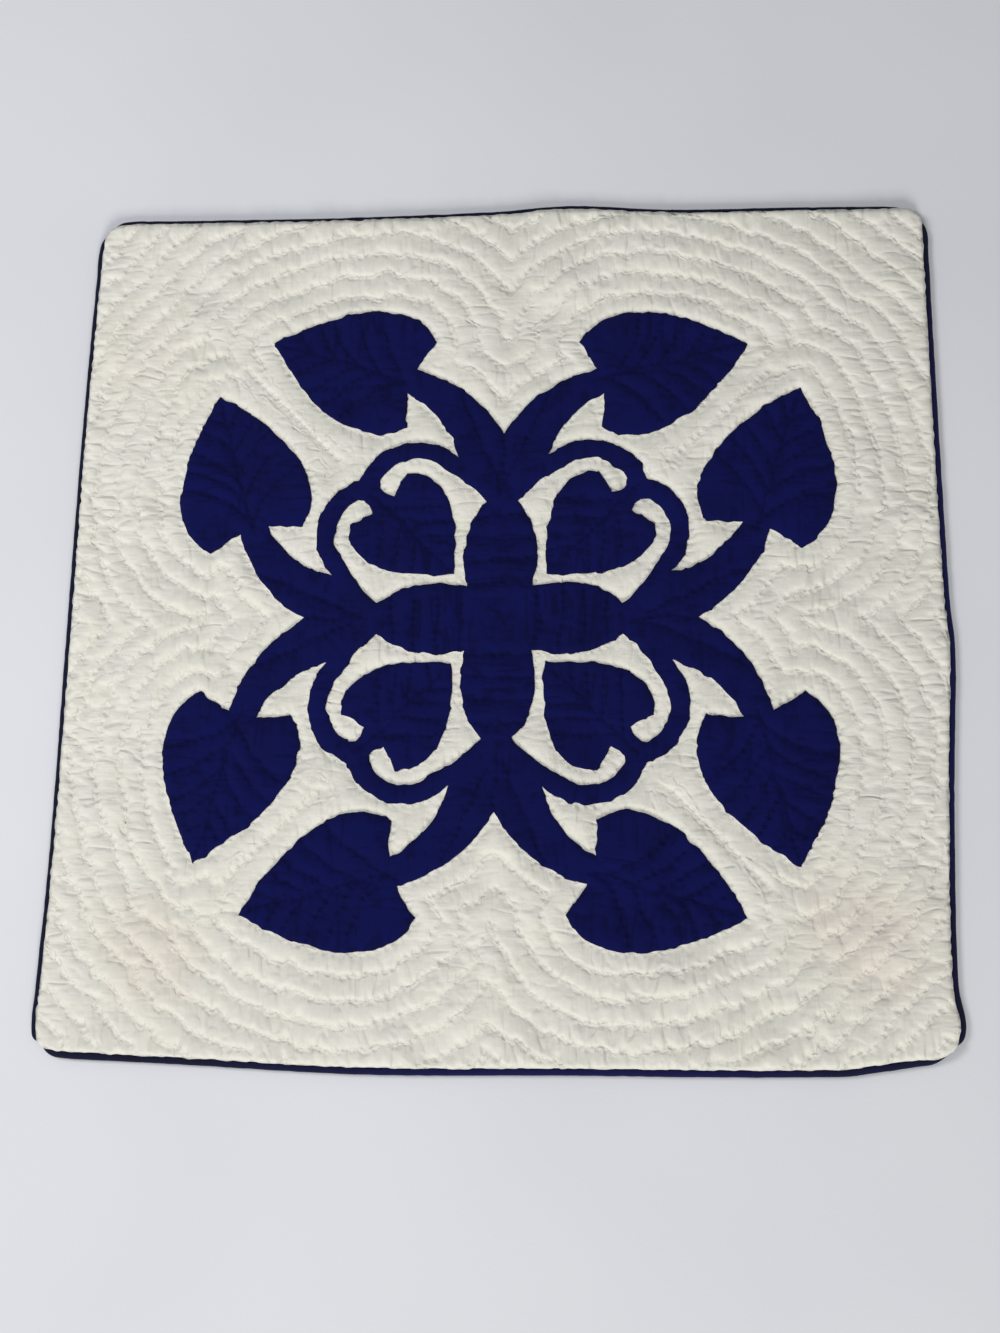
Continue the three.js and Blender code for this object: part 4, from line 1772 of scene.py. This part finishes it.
@dataclass
class QuiltedFront:
    """The cream front: its puckered top, its rolled edge and the wadding's sides down to the seam.

    Attributes:
        surface: The puckered cloth.
        marks: What its finish reads.
        levels: The heights of the rings below the edge, from the top down.
        insets: How far in from the outer line they lie, all but the first.
        tuck: How far the first one is tucked in under the edge.
        clear_of_edge: How near the edge the cloth's inner points may lie.
        seam_pucker: How far the seam's puckers draw the edge in and out.
        pucker_length: From one of those puckers to the next.
        lining_spacing: From one point of the wadding's underside to the next.
    """

    surface: QuiltSurface
    marks: RowMarks
    levels: tuple[float, ...] = (5.1 * MM, 4.8 * MM, 3.4 * MM, 1.3 * MM)
    insets: tuple[float, ...] = (4.5 * MM, 5.3 * MM, 5.3 * MM)
    tuck: float = 0.2 * MM
    clear_of_edge: float = 0.95 * MM
    seam_pucker: float = 0.3 * MM
    pucker_length: float = 3.3 * MM
    lining_spacing: float = 14 * MM

    def walls(self) -> list[np.ndarray]:
        """The rings below the rolled edge, from the top down."""
        seam = self.surface.cloth.plan.seam
        drop = self.surface.corner_drop * seam.drawing ** 3
        rings = [np.column_stack([seam.front_edge(self.tuck), self.levels[0] - drop])]
        for inset, level in zip(self.insets, self.levels[1:]):
            ring = seam.inset(inset + seam.drawn_in * seam.drawing)
            rings.append(np.hstack([ring, np.full((len(ring), 1), level)]))
        return rings

    def build(self) -> bpy.types.Object:
        """Model the front and dress it."""
        plan = self.surface.cloth.plan
        grid = plan.motif.grid
        rings = self.walls()
        made = Draft()
        edge = plan.seam.front_edge()
        drawn = grid.unevenness(self.pucker_length, Seed.SEAM, abrupt=1.6)
        rim = edge + plan.seam.out * (grid.sample(drawn, edge)[:, None] * self.seam_pucker)
        inner = plan.depth > self.clear_of_edge
        triangles = filled([rim], np.stack([grid.x[inner], grid.y[inner]], 1))
        rim_at = made.add(self.surface.at(rim))
        top = np.concatenate([rim_at, made.add(self.surface.nodes(inner))])
        made.face(top[triangles])
        above = rim_at
        for ring in rings:
            below = made.add(ring)
            made.band(below, above)
            above = below
        bottom = rings[-1][:, :2]
        coarse = SheetGrid(bottom.min(0), bottom.max(0), self.lining_spacing)
        away = np.stack([coarse.x.ravel(), coarse.y.ravel()], 1)
        lining = away[grid.sample(plan.depth, away) > self.lining_spacing / 2]
        lined = np.hstack([lining, np.full((len(lining), 1), self.levels[-1])])
        under = np.concatenate([above, made.add(lined)])
        made.face(under[filled([bottom], lining)[:, ::-1]])
        piece = made.build("quilted_front", CREAM_COTTON.material())
        self.marks.paint(piece)
        return settle(piece, "cream_cloth", "front_panel")


@dataclass
class LeafApplique:
    """The navy medallion, its edge turned under and sewn down to the front.

    Attributes:
        surface: The puckered cloth on which it lies.
        marks: What its finish reads.
        lifts: How high its top, its edge and its underside lie over that cloth.
        insets: How far in from the edge the top and the underside start.
        gathered: How far the sewing draws its edge out of line.
        gather_length: The distance over which it does.
        spacing: From one point of its edge to the next.
        clear_of_edge: How near the edge its inner points may lie.
    """

    surface: QuiltSurface
    marks: RowMarks
    lifts: tuple[float, float, float] = (0.72 * MM, 0.42 * MM, 0.06 * MM)
    insets: tuple[float, float] = (0.5 * MM, 0.15 * MM)
    gathered: float = 0.45 * MM
    gather_length: float = 4 * MM
    spacing: float = 1.5 * MM
    clear_of_edge: float = 1.35 * MM

    def build(self) -> bpy.types.Object:
        """Model the medallion and dress it."""
        motif = self.surface.cloth.plan.motif
        inner = motif.clear < -self.clear_of_edge
        points = np.stack([motif.grid.x[inner], motif.grid.y[inner]], 1)
        drawn = self.gathered * np.dstack([motif.grid.unevenness(self.gather_length, seed)
                                           for seed in (Seed.GATHER_X, Seed.GATHER_Y)])

        def place(points: np.ndarray) -> np.ndarray:
            """Where the medallion's points lie, with its edge drawn in and out by the sewing."""
            return self.surface.at(points + motif.grid.sample(drawn, points))

        sheet = ThinSheet(motif.loops(self.spacing), points, self.lifts, self.insets)
        piece = sheet.draft(place).build("leaf_applique", NAVY_COTTON.material())
        self.marks.paint(piece)
        return settle(piece, "navy_cloth", "applique")


@dataclass
class CordedPiping:
    """The covered cord sewn into the seam all round.

    Attributes:
        seam: The cover's outer line.
        sides: How many sides its round has.
        radius: Its radius.
        squeeze: How much of the radius it loses under the corners.
        pucker: How far its cover draws in, as a share of the radius.
        pucker_length: From one such place to the next.
    """

    seam: SeamLine
    sides: int = 12
    radius: float = 2.4 * MM
    squeeze: float = 0.3
    pucker: float = 0.06
    pucker_length: float = 4 * MM

    def build(self, grid: SheetGrid) -> bpy.types.Object:
        """Model the piping and dress it.

        Args:
            grid: The grid from which its unevenness is read.

        Returns:
            The piece.
        """
        line = self.seam.inset(self.radius + self.seam.drawn_in * self.seam.drawing)
        out = self.seam.out
        full = self.radius * (1 - self.squeeze * self.seam.drawing)[:, None]
        made = Draft()
        rings = []
        for side in range(self.sides):
            angle = 2 * math.pi * side / self.sides
            uneven = grid.sample(grid.unevenness(self.pucker_length, Seed.PIPING + side // 3), line)
            radius = full * (1 - self.pucker * np.clip(0.6 + 0.6 * uneven, 0.0, 2.0))[:, None]
            middle = line + out * radius * math.cos(angle)
            height = np.maximum(full + radius * math.sin(angle), 0.0)
            rings.append(made.add(np.hstack([middle, height])))
        for low, high in zip(rings, rings[1:] + rings[:1]):
            made.band(low, high)
        return settle(made.build("corded_piping", PIPING_COTTON.material()), "navy_piping", "piping")


@dataclass
class PlainBack:
    """The plain back, with the hem of its way in along the near edge.

    Attributes:
        spacing: From one point of its mesh to the next.
        lifts: The heights of its inner face, its edge and its outer face.
        insets: How far in from the edge the two faces start.
        hem: The width of the turned hem.
        hem_step: How much the hem stands proud of the outer face.
        slack: How far its slack lifts it, and at most twice that.
        slack_size: The distance over which the slack varies.
        clear_of_edge: How near the edge its inner points may lie, as a share of the spacing.
    """

    spacing: float = 3 * MM
    lifts: tuple[float, float, float] = (1.0 * MM, 0.55 * MM, 0.0)
    insets: tuple[float, float] = (0.35 * MM, 0.45 * MM)
    hem: float = 22 * MM
    hem_step: float = 0.28 * MM
    slack: float = 0.1 * MM
    slack_size: float = 26 * MM
    clear_of_edge: float = 0.7

    def build(self) -> bpy.types.Object:
        """Model the back and dress it."""
        rough = CadNode("back_panel").top_loops()[0]
        loop = smoothed(rough, steps_for(rough, self.spacing))
        grid = SheetGrid(loop.min(0) - self.spacing, loop.max(0) + self.spacing, self.spacing)
        away = grid.distance([smoothed(rough, steps_for(rough, MM))])
        inner = grid.inside([loop]) & (away > self.clear_of_edge * self.spacing)
        slack = self.slack * (1 + np.clip(grid.unevenness(self.slack_size, Seed.BACK), -1.0, 1.0))
        near = loop[:, 1].min()
        proud = self.hem_step * smooth_step((grid.y - near - self.hem) / MM + 0.5)
        relief = slack + proud

        def place(points: np.ndarray) -> np.ndarray:
            """Where points of the back lie, with its slack and its hem."""
            return np.hstack([points, grid.sample(relief, points)[:, None]])

        points = np.stack([grid.x[inner], grid.y[inner]], 1)
        top, edge, under = self.lifts
        lifts = (top - float(relief.max()), edge - float(relief.max()), under)
        piece = ThinSheet([loop], points, lifts, self.insets).draft(place)
        return settle(piece.build("plain_back", BACK_COTTON.material()), "cream_backing", "back_panel")


@dataclass
class HandStitches:
    """The running stitches that show on the front.

    Attributes:
        surface: The puckered cloth that they hold.
        length: How long a stitch shows.
        radius: The thread's radius.
        lift: How high the thread lies over the cloth's pit.
        hug: How closely it follows the cloth, from 0, straight, to 1.
        over_navy: How much higher the thread lies where it holds the medallion too.
        crooked: How far a stitch turns off its row, in radians.
    """

    surface: QuiltSurface
    length: float = 2.1 * MM
    radius: float = 0.17 * MM
    lift: float = 0.08 * MM
    hug: float = 0.55
    over_navy: float = 0.72 * MM
    crooked: float = 0.12

    def thread(self) -> tuple[np.ndarray, np.ndarray]:
        """Model one stitch as a short spindle along x.

        Returns:
            Its points and its triangles.
        """
        middle = (0.0, 0.0, 0.0)
        half = (self.length / 2, self.radius, self.radius)
        bpy.ops.object.select_all(action="DESELECT")
        bpy.ops.mesh.primitive_uv_sphere_add(segments=5, ring_count=3, radius=1.0, location=middle)
        spindle = bpy.context.object
        bpy.ops.object.mode_set(mode="EDIT")
        bpy.ops.mesh.select_all(action="SELECT")
        bpy.ops.transform.rotate(value=math.pi / 2, orient_axis="Y", center_override=middle)
        bpy.ops.transform.resize(value=half, center_override=middle)
        bpy.ops.mesh.quads_convert_to_tris()
        bpy.ops.mesh.normals_make_consistent(inside=False)
        bpy.ops.object.mode_set(mode="OBJECT")
        points = np.array([vertex.co[:] for vertex in spindle.data.vertices])
        triangles = np.array([polygon.vertices[:] for polygon in spindle.data.polygons])
        bpy.data.objects.remove(spindle)
        return points, triangles

    def build(self, name: str, kinds: set[RowKind], finish: SpunThread, slot: str) -> bpy.types.Object:
        """Lay a copy of the stitch at every pit of some kinds of row.

        Args:
            name: The piece's name.
            kinds: The kinds of row.
            finish: The thread.
            slot: Not used.

        Returns:
            The piece, all its stitches in one mesh.
        """
        spindle, triangles = self.thread()
        surface = self.surface
        stitches = [stitch for stitch in surface.cloth.stitches if stitch.kind in kinds]
        at = tuple(np.array([(stitch.row, stitch.column) for stitch in stitches]).T)
        middle = surface.cloth.flat[at][:, :2]
        heading = np.array([stitch.heading for stitch in stitches])[:, None]
        heading = heading + surface.cloth.random.normal(0.0, self.crooked, heading.shape)
        along, across = spindle[:, 0], spindle[:, 1]
        x = middle[:, :1] + along * np.cos(heading) - across * np.sin(heading)
        y = middle[:, 1:] + along * np.sin(heading) + across * np.cos(heading)
        laid = surface.at(np.stack([x.ravel(), y.ravel()], 1)).reshape(*x.shape, 3)
        pit = (surface.cloth.flat + surface.moved)[at][:, 2:3]
        on_navy = np.array([stitch.kind in NAVY_ROWS for stitch in stitches])
        raised = np.where(on_navy, self.over_navy, 0.0)[:, None]
        laid[..., 2] = pit + self.hug * (laid[..., 2] - pit) + spindle[:, 2] + self.lift + raised
        made = Draft()
        first = np.arange(len(stitches))[:, None, None] * len(spindle)
        made.add(laid.reshape(-1, 3))
        made.face(triangles[None] + first)
        return settle(made.build(name, finish.material()), slot)


NAVY_ROWS = {RowKind.VEIN, RowKind.RIB}
CREAM_ROWS = {RowKind.ECHO, RowKind.DITCH, RowKind.CHANNEL}


# ------------ the studio


@dataclass(frozen=True)
class SoftLight:
    """A square soft light.

    Attributes:
        name: Its name.
        place: Where it hangs.
        side: The length of its side.
        power: Its power, in watts.
        colour: Its colour.
    """

    name: str
    place: tuple[float, float, float]
    side: float
    power: float
    colour: Colour

    def hang(self) -> None:
        """Add the light, aimed at the cover's middle."""
        data = bpy.data.lights.new(self.name, "AREA")
        data.size = self.side
        data.energy = self.power
        data.color = self.colour
        light = bpy.data.objects.new(self.name, data)
        light.location = self.place
        light.rotation_euler = (-Vector(self.place)).to_track_quat("-Z", "Y").to_euler()
        bpy.context.scene.collection.objects.link(light)


@dataclass(frozen=True)
class Studio:
    """The floor, the light and the camera.

    Attributes:
        floor_size: The floor's side.
        floor_level: Its height, a hair under the cover.
        eye: Where the camera stands.
        look: The way it looks.
        right: The way its right side points.
        lens: Its focal length, in millimetres.
        sensor: Its sensor's width, in millimetres.
        nearest: The distance from which it sees.
        sky: The colour of the light from all round.
        sky_strength: How strong that light is.
        lights: The lights.
    """

    floor_size: float = 8.0
    floor_level: float = -0.05 * MM
    eye: tuple[float, float, float] = (0.0990, -0.3043, 0.9759)
    look: tuple[float, float, float] = (-0.0969, 0.2722, -0.9574)
    right: tuple[float, float, float] = (0.995, 0.023, -0.094)
    lens: float = 53.4
    sensor: float = 36.0
    nearest: float = 0.01
    sky: Colour = (0.93, 0.96, 1.0)
    sky_strength: float = 0.3
    lights: tuple[SoftLight, ...] = (
        SoftLight("near_light", (0.45, -2.6, 1.6), 1.0, 66.0, (1.0, 0.985, 0.955)),
        SoftLight("left_light", (-0.7, 0.05, 1.05), 0.5, 7.8, (0.975, 0.982, 1.0)),
    )

    def set_up(self) -> None:
        """Lay the floor, hang the lights and place the camera."""
        self.lay_floor()
        for light in self.lights:
            light.hang()
        world = bpy.data.worlds.new("soft_sky")
        world.use_nodes = True
        background = world.node_tree.nodes["Background"]
        background.inputs["Color"].default_value = (*self.sky, 1.0)
        background.inputs["Strength"].default_value = self.sky_strength
        scene = bpy.context.scene
        scene.world = world
        scene.view_settings.view_transform = "Standard"
        scene.camera = self.camera()

    def lay_floor(self) -> None:
        """Lay the paper floor."""
        bpy.ops.object.select_all(action="DESELECT")
        bpy.ops.mesh.primitive_plane_add(size=self.floor_size, location=(0.0, 0.0, 0.0))
        floor = bpy.context.object
        floor.name = "paper_floor"
        bpy.ops.object.mode_set(mode="EDIT")
        bpy.ops.mesh.select_all(action="SELECT")
        bpy.ops.mesh.subdivide(number_cuts=3)
        bpy.ops.transform.translate(value=(0.0, 0.0, self.floor_level))
        bpy.ops.object.mode_set(mode="OBJECT")
        floor.data.materials.append(StudioPaper().material())
        floor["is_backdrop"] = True

    def camera(self) -> bpy.types.Object:
        """Make the camera, with its right side and its view direction as given."""
        back = -Vector(self.look).normalized()
        right = Vector(self.right)
        right = (right - back * right.dot(back)).normalized()
        turn = Matrix((right, back.cross(right), back)).transposed()
        data = bpy.data.cameras.new("camera")
        data.lens = self.lens
        data.sensor_width = self.sensor
        data.clip_start = self.nearest
        camera = bpy.data.objects.new("camera", data)
        camera.matrix_world = Matrix.Translation(self.eye) @ turn.to_4x4()
        bpy.context.scene.collection.objects.link(camera)
        return camera


# ------------ the whole cover


def write_sizes() -> None:
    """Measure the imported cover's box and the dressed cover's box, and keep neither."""
    boxes = {"cad": CAD_BOX, "visual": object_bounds()}
    {name: [list(corner) for corner in box] for name, box in boxes.items()}


def main() -> None:
    """Build the cover and its studio."""
    logging.basicConfig(level=logging.INFO, format="%(name)s: %(message)s")
    seam = SeamLine()
    grid = SheetGrid(seam.line.min(0) - 4 * MM, seam.line.max(0) + 4 * MM)
    plan = QuiltPlan(Motif(grid), seam)
    cloth = QuiltedCloth(plan)
    cloth.sew(plan.rows())
    log.info("%d stitches, %d grid points", len(cloth.stitches), grid.x.size)
    cloth.relax()
    surface = QuiltSurface(cloth)
    marks = RowMarks(cloth)
    front = QuiltedFront(surface, marks).build()
    motif = LeafApplique(surface, marks).build()
    CordedPiping(seam).build(grid)
    back = PlainBack().build()
    stitches = HandStitches(surface)
    cream = stitches.build("cream_stitches", CREAM_ROWS, CREAM_THREAD, "cream_cloth")
    navy = stitches.build("navy_stitches", NAVY_ROWS, NAVY_THREAD, "navy_cloth")
    Studio().set_up()
    write_sizes()


if __name__ == "__main__":
    main()
